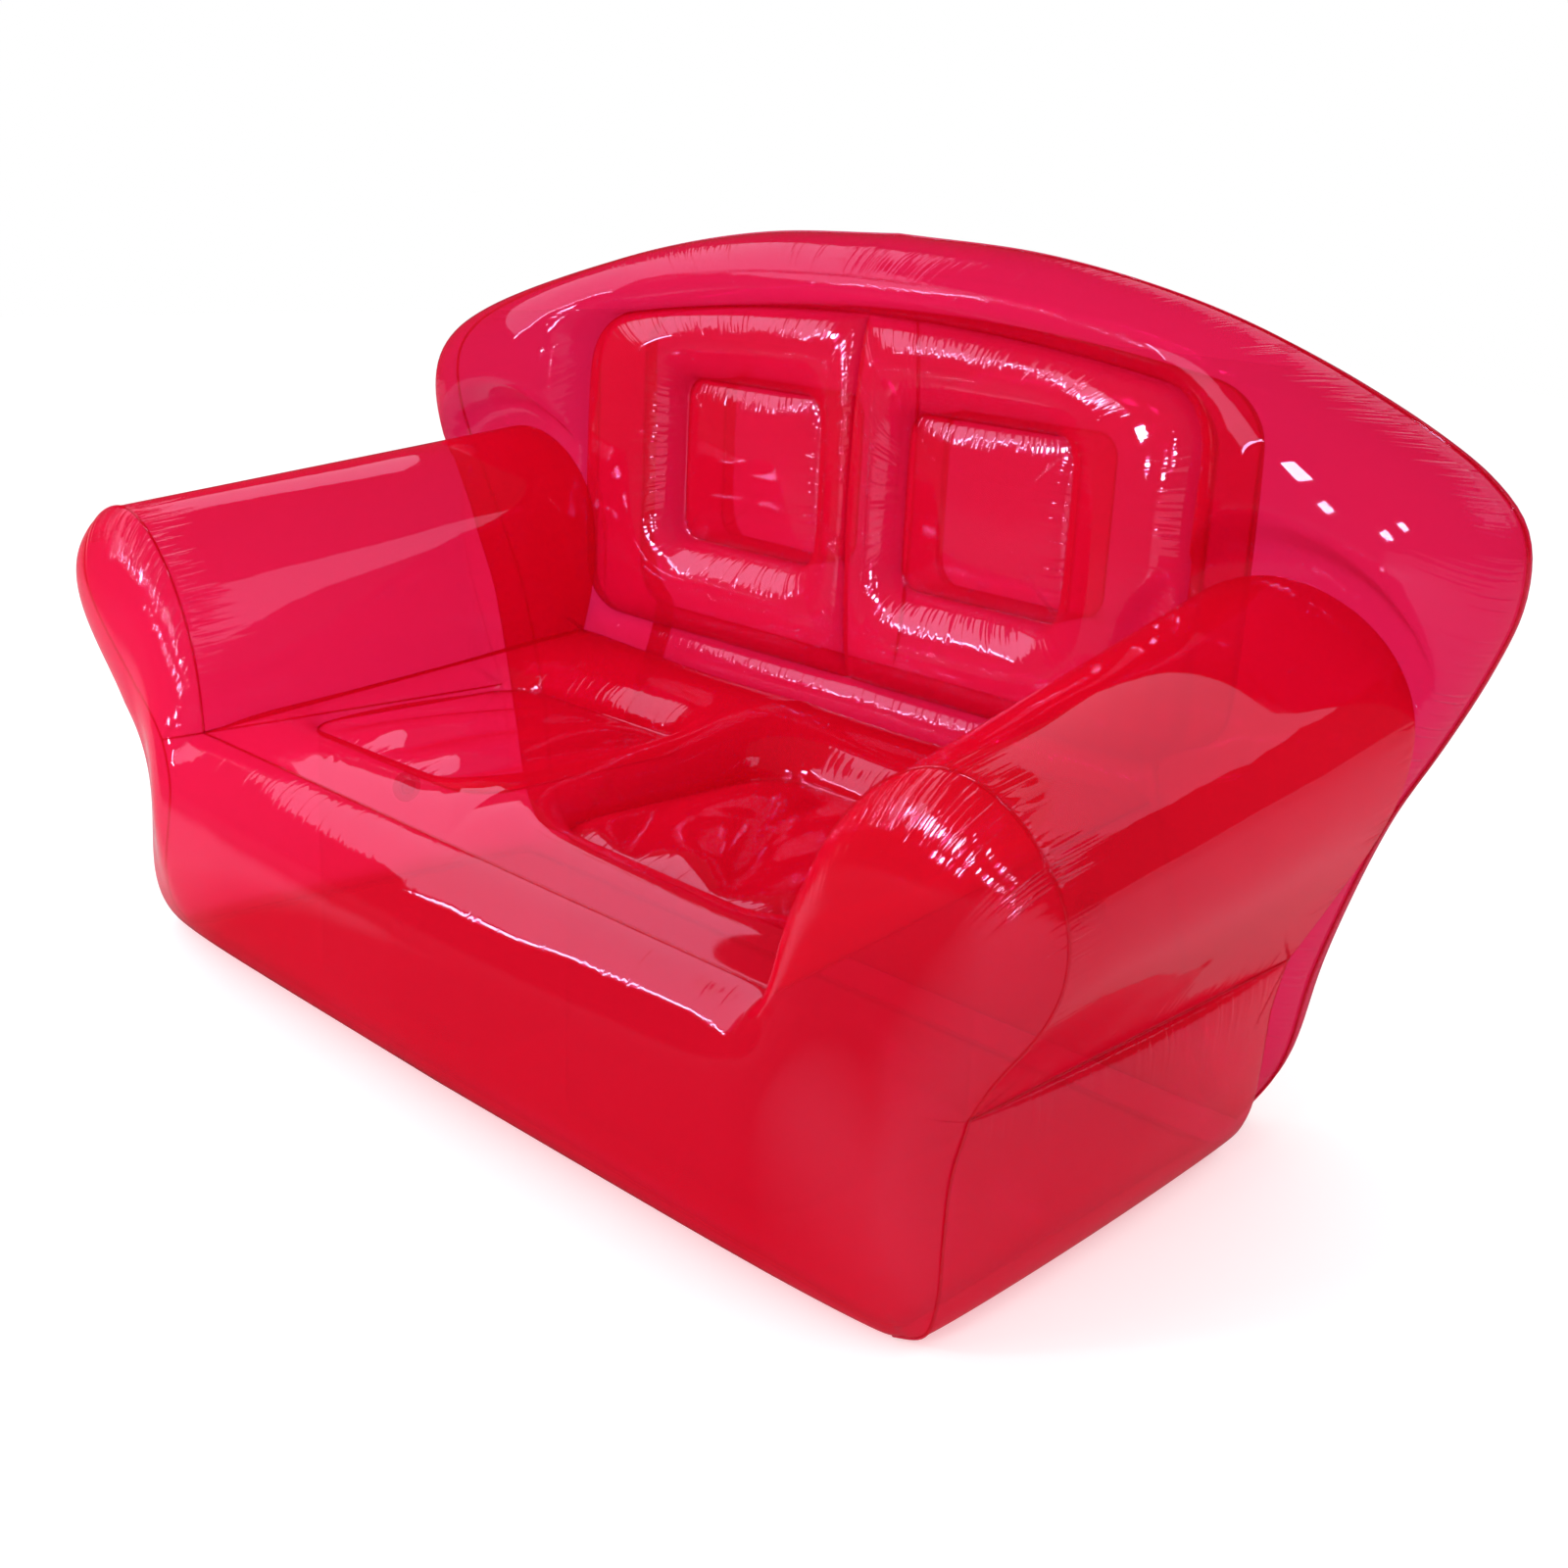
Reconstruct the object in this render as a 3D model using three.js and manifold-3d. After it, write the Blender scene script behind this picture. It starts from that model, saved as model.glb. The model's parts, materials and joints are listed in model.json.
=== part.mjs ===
// A clear inflatable two-seat sofa: welded film panels over two air chambers, inner bands and two valves.
// Millimetres. X runs across the sofa, the front faces -Y, and +Z is up.
import * as THREE from "three";
import { mergeVertices } from "three/addons/utils/BufferGeometryUtils.js";
import Module from "manifold-3d";

const wasm = await Module();
wasm.setup();

// Driving sizes of the film and its welds
const filmThickness = 0.4;
const seamGap = 0.4;
const bandGap = 0.5;

// Driving sizes of the base: how far and how high the arms reach, and how deep it is
const armReach = 780;
const armFrontHeight = 530;
const armRearRise = 75;
const baseDepth = 558;
const footInset = 36;
const sideBulge = 24;
const seamSetBack = 34;
const setBackTopShare = 0.9;
// The floor's and the seat's corners, as shares of the arms' reach and height
const floorFrontShare = 0.777;
const floorRearShare = 0.744;
const seatCornerShare = 0.618;
const creaseRearShare = 0.596;
const seatFrontShare = 0.543;
const seatRearRise = 28;
const creaseRearRise = 57;

// Driving sizes of the seat's two sunken squares
const seatWindowInnerX = 64;
const seatWindowOuterInset = 74;
const seatWindowFrontInset = 84;
const seatWindowRearInset = 150;
const seatWindowRise = 12;
const seatWindowRound = 55;

// Driving sizes of the back: its height, how far its lobes pass the arms, and how it leans forward there
const backHeight = 890;
const backHalfDepth = 70;
const backFootInset = 9;
const lobeOverhang = 28;
const lobeForward = 38;
const contactMargin = 4;
// Its outer weld loop, as shares of the back's half width and height
const loopHalfShare = 0.5915;
const loopBottomShare = 0.4213;
const loopTopShare = 0.9022;
const loopArchDrop = 44;
const loopRound = 60;
const loopBandDepth = 80;
// Its two square windows, as shares of the loop's half width and the back's height
const windowInnerShare = 0.139;
const windowOuterShare = 0.6463;
const windowBottomShare = 0.5573;
const windowTopShare = 0.7854;
const windowRound = 26;
const windowBandDepth = 62;
const middleRise = 14;

// Driving sizes of a valve
const neckBore = 10.5;
const neckWall = 2.2;
const neckProud = 4;
const neckSunk = 14;
const flangeRadius = 22;
const flangeThickness = 1.2;
const flangeDrop = 7;
const runningGap = 0.3;
const insertWall = 2;
const insertLip = 1.8;
const insertLipThickness = 1.4;
const spokeWidth = 2;
const spokeThickness = 1.5;
const flapThickness = 0.8;
const flapHingeTab = 2.4;
const stopperWall = 1.4;
const stopperDepth = 8;
const stopperCapThickness = 1.6;
const pullTabWidth = 7;
const pullTabHeight = 5;
const pullTabThickness = 1.6;
const backVentRadius = 14;
const seatVentRadius = 34;

// Where the valves sit, as shares of the panel that carries each
const baseValveDepthShare = 0.72;
const baseValveRiseShare = 0.5;
const backValveXShare = 0.62;
const backValveHeightShare = 0.17;

// How full each film stands, as a share of a freely rounded tube
const frontFullShare = 1.02;
const armFaceFullShare = 0.88;
const seatRingFullShare = 0.8;
const seatSideFullShare = 0.52;
const seatFrontEase = 26;
const seatPadFullShare = 0.16;
const backRingFullShare = 0.85;
const backPadFullShare = 0.22;
const lobeFrontFullShare = 1.36;
const lobeRearFullShare = 0.95;
const crownFullShare = 1.95;
const skirtFullShare = 0.42;
const swellSlopeShare = 1.6;
const frontPlateau = 200;
const seatPlateau = 200;
const backPlateau = 89;
const frontSeamEase = 14;
// A share below 1 lifts the lower side's swell towards the valley
const swellHighShare = 0.6;

// Steps of the grids
const acrossHalf = 7;
const sideSteps = 7;
const ringSteps = 4;
const rimSteps = 9;
const armSteps = 20;
const depthSteps = 8;
const footSteps = 6;
const rollSteps = 4;
const roundSteps = 24;
const membraneSweeps = 500;

// Corners that follow from the driving sizes
const armRearHeight = armFrontHeight + armRearRise;
const floorHalfWidth = armReach * floorFrontShare;
const floorRearHalfWidth = armReach * floorRearShare;
const seatCornerX = armReach * seatCornerShare;
const seatFrontHeight = armFrontHeight * seatFrontShare;
const seatRearHeight = seatFrontHeight + seatRearRise;
const creaseRearX = armReach * creaseRearShare;
const creaseRearHeight = seatFrontHeight + creaseRearRise;
const seatWindowOuterX = seatCornerX - seatWindowOuterInset;
const seatWindowHeight = seatFrontHeight + seatWindowRise;
const backHalfWidth = armReach + lobeOverhang;
const backFootHalfWidth = floorRearHalfWidth - backFootInset;
const loopHalfWidth = backHalfWidth * loopHalfShare;
const loopBottomHeight = backHeight * loopBottomShare;
const loopTopHeight = backHeight * loopTopShare;
const windowInnerX = loopHalfWidth * windowInnerShare;
const windowOuterX = loopHalfWidth * windowOuterShare;
const windowBottomHeight = backHeight * windowBottomShare;
const windowTopHeight = backHeight * windowTopShare;

// Arm outline from the seat crease over the roll to the valley, as shares of its reach and height
const armFrontShares = [
  [seatCornerShare, seatFrontShare],
  [0.63, 0.66],
  [0.66, 0.775],
  [0.708, 0.887],
  [0.771, 0.968],
  [0.831, 1],
  [0.9, 0.98],
  [0.956, 0.922],
  [0.992, 0.838],
  [0.99, 0.745],
  [0.96, 0.651],
  [0.92, 0.57],
  [0.884, 0.5],
  [0.856, 0.43],
];
const armRearShares = [
  [creaseRearShare, creaseRearHeight / armRearHeight],
  [0.574, 0.673],
  [0.57, 0.774],
  [0.588, 0.884],
  [0.655, 0.966],
  [0.737, 1],
  [0.806, 0.992],
  [0.869, 0.96],
  [0.923, 0.901],
  [0.952, 0.822],
  [0.951, 0.724],
  [0.926, 0.623],
  [0.884, 0.513],
  [0.83, 0.378],
];
// Lower side from the valley to the floor, as shares of the arm's reach and front height
const footFrontShares = [
  [0.856, 0.43],
  [0.838, 0.32],
  [0.84, 0.208],
  [0.843, 0.11],
  [0.828, 0.035],
  [floorFrontShare, 0],
];
const footRearShares = [
  [0.83, (0.378 * armRearHeight) / armFrontHeight],
  [0.814, 0.33],
  [0.81, 0.2],
  [0.803, 0.1],
  [0.78, 0.028],
  [floorRearShare, 0],
];
// Outline of the back from the floor corner round the lobe to the crown's middle
const backShares = [
  [backFootHalfWidth / backHalfWidth, 0],
  [0.763, 0.09],
  [0.79, 0.22],
  [0.857, 0.41],
  [0.913, 0.51],
  [0.966, 0.61],
  [0.997, 0.69],
  [0.992, 0.764],
  [0.947, 0.808],
  [0.872, 0.846],
  [0.7, 0.905],
  [0.51, 0.953],
  [0.267, 0.989],
  [0, 1],
];
// How far along that outline the lobe's corner lies
const lobeShare = 0.5;
const lobeSpreadShare = 0.15;

// Derived places
const frontY = -baseDepth / 2;
const rearY = baseDepth / 2;
const backSeamY = rearY + seamGap + filmThickness + backHalfDepth;
const loopHalfDepth = loopBandDepth / 2;
const windowHalfDepth = windowBandDepth / 2;
const neckRadius = neckBore + neckWall;
const half = 0.5;
const quarterTurn = Math.PI * half;
const mergeStep = 0.005;
// A triangle's corner carries a third of its area, and the area is half the cross product
const cornerShare = half / 3;

// Materials
const clearPink = new THREE.MeshStandardMaterial({
  color: 0xe0105a,
  roughness: 0.06,
  metalness: 0,
  transparent: true,
  opacity: 0.6,
});
const clearRed = new THREE.MeshStandardMaterial({
  color: 0xd0101c,
  roughness: 0.08,
  metalness: 0,
  transparent: true,
  opacity: 0.6,
});
const valvePlastic = new THREE.MeshStandardMaterial({
  color: 0xf4e9ec,
  roughness: 0.25,
  metalness: 0,
  transparent: true,
  opacity: 0.8,
});
const valveRubber = new THREE.MeshStandardMaterial({
  color: 0xd9d4d2,
  roughness: 0.6,
  metalness: 0,
});

// Small helpers
const lerp = THREE.MathUtils.lerp;
const point = (x, y, z) => new THREE.Vector3(x, y, z);
const keyOf = (p) => p.toArray().map((c) => Math.round(c / mergeStep)).join();
// Steps that crowd towards both ends of a span, where a weld draws the film in
const crowded = (s) => (1 - Math.cos(Math.PI * s)) * half;

// A smooth curve through shares of a width and a height, and its points between two stretches
const curveOf = (shares, width, height) =>
  new THREE.CatmullRomCurve3(
    shares.map(([a, b]) => point(a * width, 0, b * height)),
    false,
    "centripetal",
  );
const outline = (shares, width, height, steps) =>
  curveOf(shares, width, height).getSpacedPoints(steps);

// A film's outer skin: grids and polygons of points that merge where they meet
class Film {
  constructor() {
    this.points = [];
    this.welded = [];
    this.full = [];
    this.faces = [];
    this.index = new Map();
  }
  vertex(p, welded = true, full = 0) {
    const key = keyOf(p);
    if (!this.index.has(key)) {
      this.index.set(key, this.points.length);
      this.points.push(p.clone());
      this.welded.push(false);
      this.full.push(full);
    }
    const i = this.index.get(key);
    this.welded[i] = this.welded[i] || welded;
    return i;
  }
  triangle(a, b, c) {
    if (a !== b && b !== c && a !== c) this.faces.push([a, b, c]);
  }
  // at(i, j) gives a point, whether a weld holds it there, and how full the film stands
  grid(columns, rows, at) {
    const ids = [];
    for (let i = 0; i <= columns; i++) {
      ids.push([]);
      for (let j = 0; j <= rows; j++) {
        const { p, welded, full } = at(i, j);
        ids[i].push(this.vertex(p, welded, full));
      }
    }
    for (let i = 0; i < columns; i++)
      for (let j = 0; j < rows; j++) {
        const [a, b] = [ids[i][j], ids[i + 1][j]];
        const [d, c] = [ids[i][j + 1], ids[i + 1][j + 1]];
        const short =
          this.points[a].distanceTo(this.points[c]) <=
          this.points[b].distanceTo(this.points[d]);
        if (short) {
          this.triangle(a, b, c);
          this.triangle(a, c, d);
        } else {
          this.triangle(a, b, d);
          this.triangle(b, c, d);
        }
      }
    return this;
  }
  // A flat piece fanned out from a middle point to the given corners in turn
  fan(middlePoint, corners) {
    const hub = this.vertex(middlePoint);
    const ids = corners.map((p) => this.vertex(p));
    ids.forEach((id, i) => this.triangle(hub, id, ids[(i + 1) % ids.length]));
    return this;
  }
  // A flat piece with the given corners, across the two named axes
  polygon(corners, axisA, axisB) {
    const flat = corners.map((p) => new THREE.Vector2(p[axisA], p[axisB]));
    const ids = corners.map((p) => this.vertex(p));
    THREE.ShapeUtils.triangulateShape(flat, []).forEach(([a, b, c]) =>
      this.triangle(ids[a], ids[b], ids[c]),
    );
    return this;
  }
  normalOf([a, b, c]) {
    const [p, q, r] = [this.points[a], this.points[b], this.points[c]];
    return q.clone().sub(p).cross(r.clone().sub(p));
  }
  // Turns every face to look along the given direction
  facing(direction) {
    this.faces = this.faces.map(([a, b, c]) =>
      this.normalOf([a, b, c]).dot(direction) < 0 ? [a, c, b] : [a, b, c],
    );
    return this;
  }
  flipped() {
    this.faces = this.faces.map(([a, b, c]) => [a, c, b]);
    return this;
  }
  // Blows the film up along one axis: its height is the root of a loaded membrane's sag. A plateau
  // levels off the wide fields, and an ease lets the film leave its seam without a lip.
  inflate(axis, direction, plateau, ease) {
    const [u, v] = ["x", "y", "z"].filter((name) => name !== axis);
    const load = this.points.map(() => 0);
    const links = this.points.map(() => new Map());
    const join = (i, j, weight) => {
      links[i].set(j, (links[i].get(j) || 0) + weight);
      links[j].set(i, (links[j].get(i) || 0) + weight);
    };
    for (const face of this.faces) {
      const flat = face.map((i) => [this.points[i][u], this.points[i][v]]);
      const edge = (m, n) => [flat[n][0] - flat[m][0], flat[n][1] - flat[m][1]];
      const [e1, e2] = [edge(0, 1), edge(0, 2)];
      const twice = Math.abs(e1[0] * e2[1] - e1[1] * e2[0]);
      if (twice === 0) continue;
      face.forEach((id, k) => {
        const [m, n] = [(k + 1) % 3, (k + 2) % 3];
        const [a, b] = [edge(k, m), edge(k, n)];
        join(face[m], face[n], ((a[0] * b[0] + a[1] * b[1]) / twice) * half);
        load[id] += twice * cornerShare;
      });
    }
    const sag = this.points.map(() => 0);
    for (let sweep = 0; sweep < membraneSweeps; sweep++)
      this.points.forEach((p, i) => {
        if (this.welded[i]) return;
        let [sum, total] = [load[i], 0];
        links[i].forEach((weight, j) => {
          sum += weight * sag[j];
          total += weight;
        });
        sag[i] = Math.max(0, sum / total);
      });
    this.points.forEach((p, i) => {
      const root = plateau * Math.sqrt(1 - Math.exp(-sag[i] / plateau ** 2));
      p[axis] += direction * this.full[i] * (Math.hypot(root, ease) - ease);
    });
    return this;
  }
}

// Gives every film its thickness at once: neighbours meet on mitred edges with the seam gap between
function thicken(films) {
  const shared = new Map();
  const skins = films.map((film) => {
    const normals = film.points.map(() => point(0, 0, 0));
    const edges = new Map();
    for (const face of film.faces) {
      const n = film.normalOf(face);
      face.forEach((i, k) => {
        normals[i].add(n);
        edges.set([i, face[(k + 1) % 3]].join(), face[(k + 2) % 3]);
      });
    }
    normals.forEach((n) => n.normalize());
    const rim = [...edges.keys()]
      .map((key) => key.split(",").map(Number))
      .filter(([a, b]) => !edges.has([b, a].join()));
    const inward = new Map();
    for (const [a, b] of rim) {
      const along = film.points[b].clone().sub(film.points[a]).normalize();
      const across = film.points[edges.get([a, b].join())].clone().sub(film.points[a]);
      across.addScaledVector(along, -across.dot(along)).normalize();
      [a, b].forEach((i) => inward.set(i, [...(inward.get(i) || []), across]));
    }
    inward.forEach((_, i) => {
      const key = keyOf(film.points[i]);
      shared.set(key, [...(shared.get(key) || []), normals[i]]);
    });
    return { film, normals, rim, inward };
  });
  return skins.map(({ film, normals, rim, inward }) => {
    const outer = film.points.map((p) => p.clone());
    const inner = film.points.map((p, i) => p.clone().addScaledVector(normals[i], -filmThickness));
    inward.forEach((ways, i) => {
      const mitre = point(0, 0, 0);
      shared.get(keyOf(film.points[i])).forEach((n) => mitre.add(n));
      mitre.normalize();
      const reach = filmThickness / Math.max(half, mitre.dot(normals[i]));
      const shift = ways[0].clone();
      const last = ways[ways.length - 1];
      if (ways.length > 1)
        shift.add(last).divideScalar(Math.max(half, 1 + ways[0].dot(last)));
      shift.multiplyScalar(seamGap * half);
      inner[i] = film.points[i].clone().addScaledVector(mitre, -reach).add(shift);
      outer[i].add(shift);
    });
    const count = outer.length;
    const index = [];
    film.faces.forEach(([a, b, c]) => index.push(a, b, c, a + count, c + count, b + count));
    rim.forEach(([a, b]) => index.push(b, a, a + count, b, a + count, b + count));
    const geometry = new THREE.BufferGeometry().setFromPoints([...outer, ...inner]);
    geometry.setIndex(index);
    return geometry;
  });
}

// Cuts and joins closed meshes
function solidOf(geometry) {
  const bare = geometry.clone();
  bare.deleteAttribute("normal");
  bare.deleteAttribute("uv");
  const merged = mergeVertices(bare, mergeStep);
  return new wasm.Manifold(
    new wasm.Mesh({
      numProp: 3,
      vertProperties: new Float32Array(merged.attributes.position.array),
      triVerts: new Uint32Array(merged.index.array),
    }),
  );
}
function geometryOf(solid) {
  const mesh = solid.getMesh();
  const geometry = new THREE.BufferGeometry();
  geometry.setAttribute("position", new THREE.BufferAttribute(mesh.vertProperties, 3));
  geometry.setIndex(new THREE.BufferAttribute(mesh.triVerts, 1));
  return geometry;
}
const join = (...pieces) =>
  geometryOf(pieces.map(solidOf).reduce((sum, piece) => sum.add(piece)));
const cut = (body, ...tools) =>
  geometryOf(tools.map(solidOf).reduce((rest, tool) => rest.subtract(tool), solidOf(body)));

// The shared seam lines of the right half, front and rear
const armFront = outline(armFrontShares, armReach, armFrontHeight, armSteps);
const armRear = outline(armRearShares, armReach, armRearHeight, armSteps);
const footFront = outline(footFrontShares, armReach, armFrontHeight, footSteps);
const footRear = outline(footRearShares, armReach, armFrontHeight, footSteps);
// The front seam leans back towards the floor, and outside the seat it is set back about the valley
const setBackTop = armFrontHeight * setBackTopShare;
function seamY(x, z) {
  const lean = footInset * Math.max(0, 1 - z / seatFrontHeight);
  const outside = THREE.MathUtils.smoothstep(Math.abs(x), seatCornerX, floorHalfWidth);
  const wave = Math.sin(Math.PI * THREE.MathUtils.clamp(z / setBackTop, 0, 1));
  return frontY + lean + seamSetBack * outside * wave * wave;
}

// Rows crowd towards the front and rear seams
const depthAt = (j) => crowded(j / depthSteps);

// A point of the arm's skin: i steps along its outline, j steps from the front seam to the rear
function armPoint(i, j) {
  const w = depthAt(j);
  const [f, r] = [armFront[i], armRear[i]];
  return point(lerp(f.x, r.x, w), lerp(seamY(f.x, f.z), rearY, w), lerp(f.z, r.z, w));
}
// A point of the lower side: i steps down from the valley to the floor
function footPoint(i, j) {
  const [w, s] = [depthAt(j), i / footSteps];
  const [f, r] = [footFront[i], footRear[i]];
  const swell = sideBulge * Math.sin(Math.PI * s ** swellHighShare) * Math.sqrt(Math.sin(Math.PI * w));
  return point(lerp(f.x, r.x, w) + swell, lerp(seamY(f.x, f.z), rearY, w), lerp(f.z, r.z, w));
}
const mirrored = (p, side) => point(p.x * side, p.y, p.z);

// Front panel: the apron and both arm faces in one piece
function frontPanel() {
  const film = new Film();
  const place = (x, z, welded) => ({
    p: point(x, seamY(x, z), z),
    welded,
    full: lerp(frontFullShare, armFaceFullShare, Math.min(1, Math.abs(x) / floorHalfWidth)),
  });
  const floorX = (i) => crowded(i / acrossHalf) * seatCornerX;
  for (const side of [1, -1]) {
    film.grid(acrossHalf, footSteps, (i, j) =>
      place(side * floorX(i), seatFrontHeight * (1 - j / footSteps), j === 0 || j === footSteps),
    );
    // The foot of the arm's face: below the line from the seat corner to the valley
    const chord = (s) => [
      lerp(armFront[0].x, armFront[armSteps].x, s),
      lerp(armFront[0].z, armFront[armSteps].z, s),
    ];
    film.grid(armSteps, footSteps, (i, j) => {
      const [s, t] = [i / armSteps, j / footSteps];
      const [x, z] = chord(s);
      const lean = footFront[j].x - lerp(footFront[0].x, footFront[footSteps].x, t);
      const drop = footFront[j].z - lerp(footFront[0].z, footFront[footSteps].z, t);
      return place(
        side * (lerp(x, lerp(seatCornerX, floorHalfWidth, s), t) + s * lean),
        lerp(z, 0, t) + s * drop,
        j === footSteps || i === armSteps,
      );
    });
    // The roll's face, fanned from that line out to the seam
    film.grid(armSteps, rollSteps, (i, j) => {
      const t = Math.sin((quarterTurn * j) / rollSteps);
      const [x, z] = chord(i / armSteps);
      return place(
        side * lerp(x, armFront[i].x, t),
        lerp(z, armFront[i].z, t),
        j === rollSteps || i === 0 && j === 0 || i === armSteps,
      );
    });
  }
  return film.inflate("y", -1, frontPlateau, frontSeamEase).facing(point(0, -1, 0));
}

// Arm panel: from the seat crease over the roll to the valley above the lower side
function armPanel(side) {
  const film = new Film();
  film.grid(armSteps, depthSteps, (i, j) => ({ p: mirrored(armPoint(i, j), side) }));
  return side > 0 ? film : film.flipped();
}

// Lower side panel: from the valley to the floor
function sidePanel(side) {
  const film = new Film();
  film.grid(footSteps, depthSteps, (i, j) => ({ p: mirrored(footPoint(i, j), side) }));
  return side > 0 ? film : film.flipped();
}

// Bottom panel, flat on the floor
function bottomPanel() {
  const right = [];
  for (let i = 0; i <= acrossHalf; i++)
    right.push(point(crowded(i / acrossHalf) * seatCornerX, seamY(0, 0), 0));
  for (let i = 1; i <= armSteps; i++)
    right.push(point(lerp(seatCornerX, floorHalfWidth, i / armSteps), seamY(0, 0), 0));
  for (let j = 1; j <= depthSteps; j++) right.push(footPoint(footSteps, j));
  const left = right.slice(1).map((p) => mirrored(p, -1)).reverse();
  return new Film().fan(point(0, 0, 0), [...right, ...left]).facing(point(0, 0, -1));
}

// A rounded four-sided loop in unit squares: p and q run 0 to 1 and corners are rounded by shares
function rounded(p, q, roundP, roundQ) {
  const [cp, cq] = [
    THREE.MathUtils.clamp(p, roundP, 1 - roundP),
    THREE.MathUtils.clamp(q, roundQ, 1 - roundQ),
  ];
  const [dp, dq] = [(p - cp) / roundP, (q - cq) / roundQ];
  const far = Math.hypot(dp, dq);
  return far > 1 ? [cp + (dp / far) * roundP, cq + (dq / far) * roundQ] : [p, q];
}
// A walk round a grid's rim in whole steps: across, up, back and down
function walkRound(columns, rows) {
  const walk = [];
  for (let i = 0; i < columns; i++) walk.push([i, 0]);
  for (let j = 0; j < rows; j++) walk.push([columns, j]);
  for (let i = columns; i > 0; i--) walk.push([i, rows]);
  for (let j = rows; j > 0; j--) walk.push([0, j]);
  return walk;
}
// The unit place of a step, crowded towards the ends of each side
const unitOf = ([i, j], rows) => [crowded(i / acrossHalf), crowded(j / rows)];
// A rounded square's film inside its rim, as a grid that follows the rounded corners
function padPoint(p, q, roundP, roundQ) {
  const [low, high] = [rounded(p, 0, roundP, roundQ), rounded(p, 1, roundP, roundQ)];
  const [left, right] = [rounded(0, q, roundP, roundQ), rounded(1, q, roundP, roundQ)];
  const mix = (k) =>
    lerp(low[k], high[k], q) + lerp(left[k], right[k], p) - (k === 0 ? p : q);
  return [
    mix(0) + cornerPull(p, q, roundP, 0, roundP, roundQ),
    mix(1) + cornerPull(p, q, roundQ, 1, roundP, roundQ),
  ];
}
// What the rounded corners themselves add, taken off so that the four sides agree
function cornerPull(p, q, round, k, roundP, roundQ) {
  const corner = (a, b) => {
    const spot = rounded(a, b, roundP, roundQ);
    return spot[k] - [a, b][k];
  };
  return -(
    (1 - p) * (1 - q) * corner(0, 0) +
    p * (1 - q) * corner(1, 0) +
    (1 - p) * q * corner(0, 1) +
    p * q * corner(1, 1)
  );
}

// Seat: a ring of film between the seams and each sunken square, and the squares
const seatRear = (s) =>
  point(lerp(0, creaseRearX, s), rearY, lerp(seatRearHeight, creaseRearHeight, s * s));
const seatWindow = {
  x: [seatWindowInnerX, seatWindowOuterX],
  y: [frontY + seatWindowFrontInset, rearY - seatWindowRearInset],
};
const seatSpot = ([p, q]) =>
  point(lerp(...seatWindow.x, p), lerp(...seatWindow.y, q), seatWindowHeight);
const seatRoundShares = [
  seatWindowRound / (seatWindow.x[1] - seatWindow.x[0]),
  seatWindowRound / (seatWindow.y[1] - seatWindow.y[0]),
];
// The outer edge of the seat's right half, at the same steps as the square's rim
function seatEdge([i, j]) {
  const [p, q] = unitOf([i, j], depthSteps);
  if (j === 0) return point(p * seatCornerX, frontY, seatFrontHeight);
  if (j === depthSteps) return seatRear(p);
  if (i === acrossHalf) return armPoint(0, j);
  return point(0, lerp(frontY, rearY, q), lerp(seatFrontHeight, seatRearHeight, q));
}
function seatPanel() {
  const film = new Film();
  const walk = walkRound(acrossHalf, depthSteps);
  for (const side of [1, -1]) {
    film.grid(walk.length, ringSteps, (k, n) => {
      const step = walk[k % walk.length];
      const spot = unitOf(step, depthSteps);
      const outer = seatEdge(step);
      const inner = seatSpot(rounded(...spot, ...seatRoundShares));
      const middle = step[0] === 0 && step[1] > 0 && step[1] < depthSteps;
      const p = mirrored(outer.lerp(inner, crowded(n / ringSteps)), side);
      const ease = 1 - Math.exp((frontY - p.y) / seatFrontEase);
      return {
        p,
        welded: n === ringSteps || (n === 0 && !middle),
        full: lerp(seatRingFullShare, seatSideFullShare, spot[0] * spot[0]) * ease,
      };
    });
    film.grid(acrossHalf, depthSteps, (i, j) => ({
      p: mirrored(seatSpot(padPoint(...unitOf([i, j], depthSteps), ...seatRoundShares)), side),
      welded: [0, acrossHalf].includes(i) || [0, depthSteps].includes(j),
      full: seatPadFullShare,
    }));
  }
  return film.inflate("z", 1, seatPlateau, 0).facing(point(0, 0, 1));
}

// Rear panel of the base: flat, with the outline of the arms, the seat's rear edge and the sides
function baseRearPanel() {
  const right = [];
  for (let i = 0; i <= acrossHalf; i++) right.push(seatRear(crowded(i / acrossHalf)));
  for (let i = 1; i <= armSteps; i++) right.push(armPoint(i, depthSteps));
  for (let i = 1; i <= footSteps; i++) right.push(footPoint(i, depthSteps));
  const left = right.slice(1).map((p) => mirrored(p, -1)).reverse();
  return new Film().polygon([...right, ...left], "x", "z").facing(point(0, 1, 0));
}

// The back's weld lines, as places in the upright plane
const loopSpot = ([p, q]) => {
  const top = loopTopHeight - loopArchDrop * p * p;
  return [p * loopHalfWidth, lerp(loopBottomHeight, top, q)];
};
const loopRoundShares = [
  loopRound / loopHalfWidth,
  loopRound / (loopTopHeight - loopBottomHeight),
];
// Only the loop's outer corners are round: its halves meet along the middle
function loopRim([p, q]) {
  const [a, b] = rounded((p + 1) * half, q, loopRoundShares[0] * half, loopRoundShares[1]);
  return loopSpot([a * 2 - 1, b]);
}
const windowSpot = ([p, q]) => [
  lerp(windowInnerX, windowOuterX, p),
  lerp(windowBottomHeight, windowTopHeight, q),
];
const windowRoundShares = [
  windowRound / (windowOuterX - windowInnerX),
  windowRound / (windowTopHeight - windowBottomHeight),
];
const backLine = curveOf(backShares, backHalfWidth, backHeight);
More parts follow.
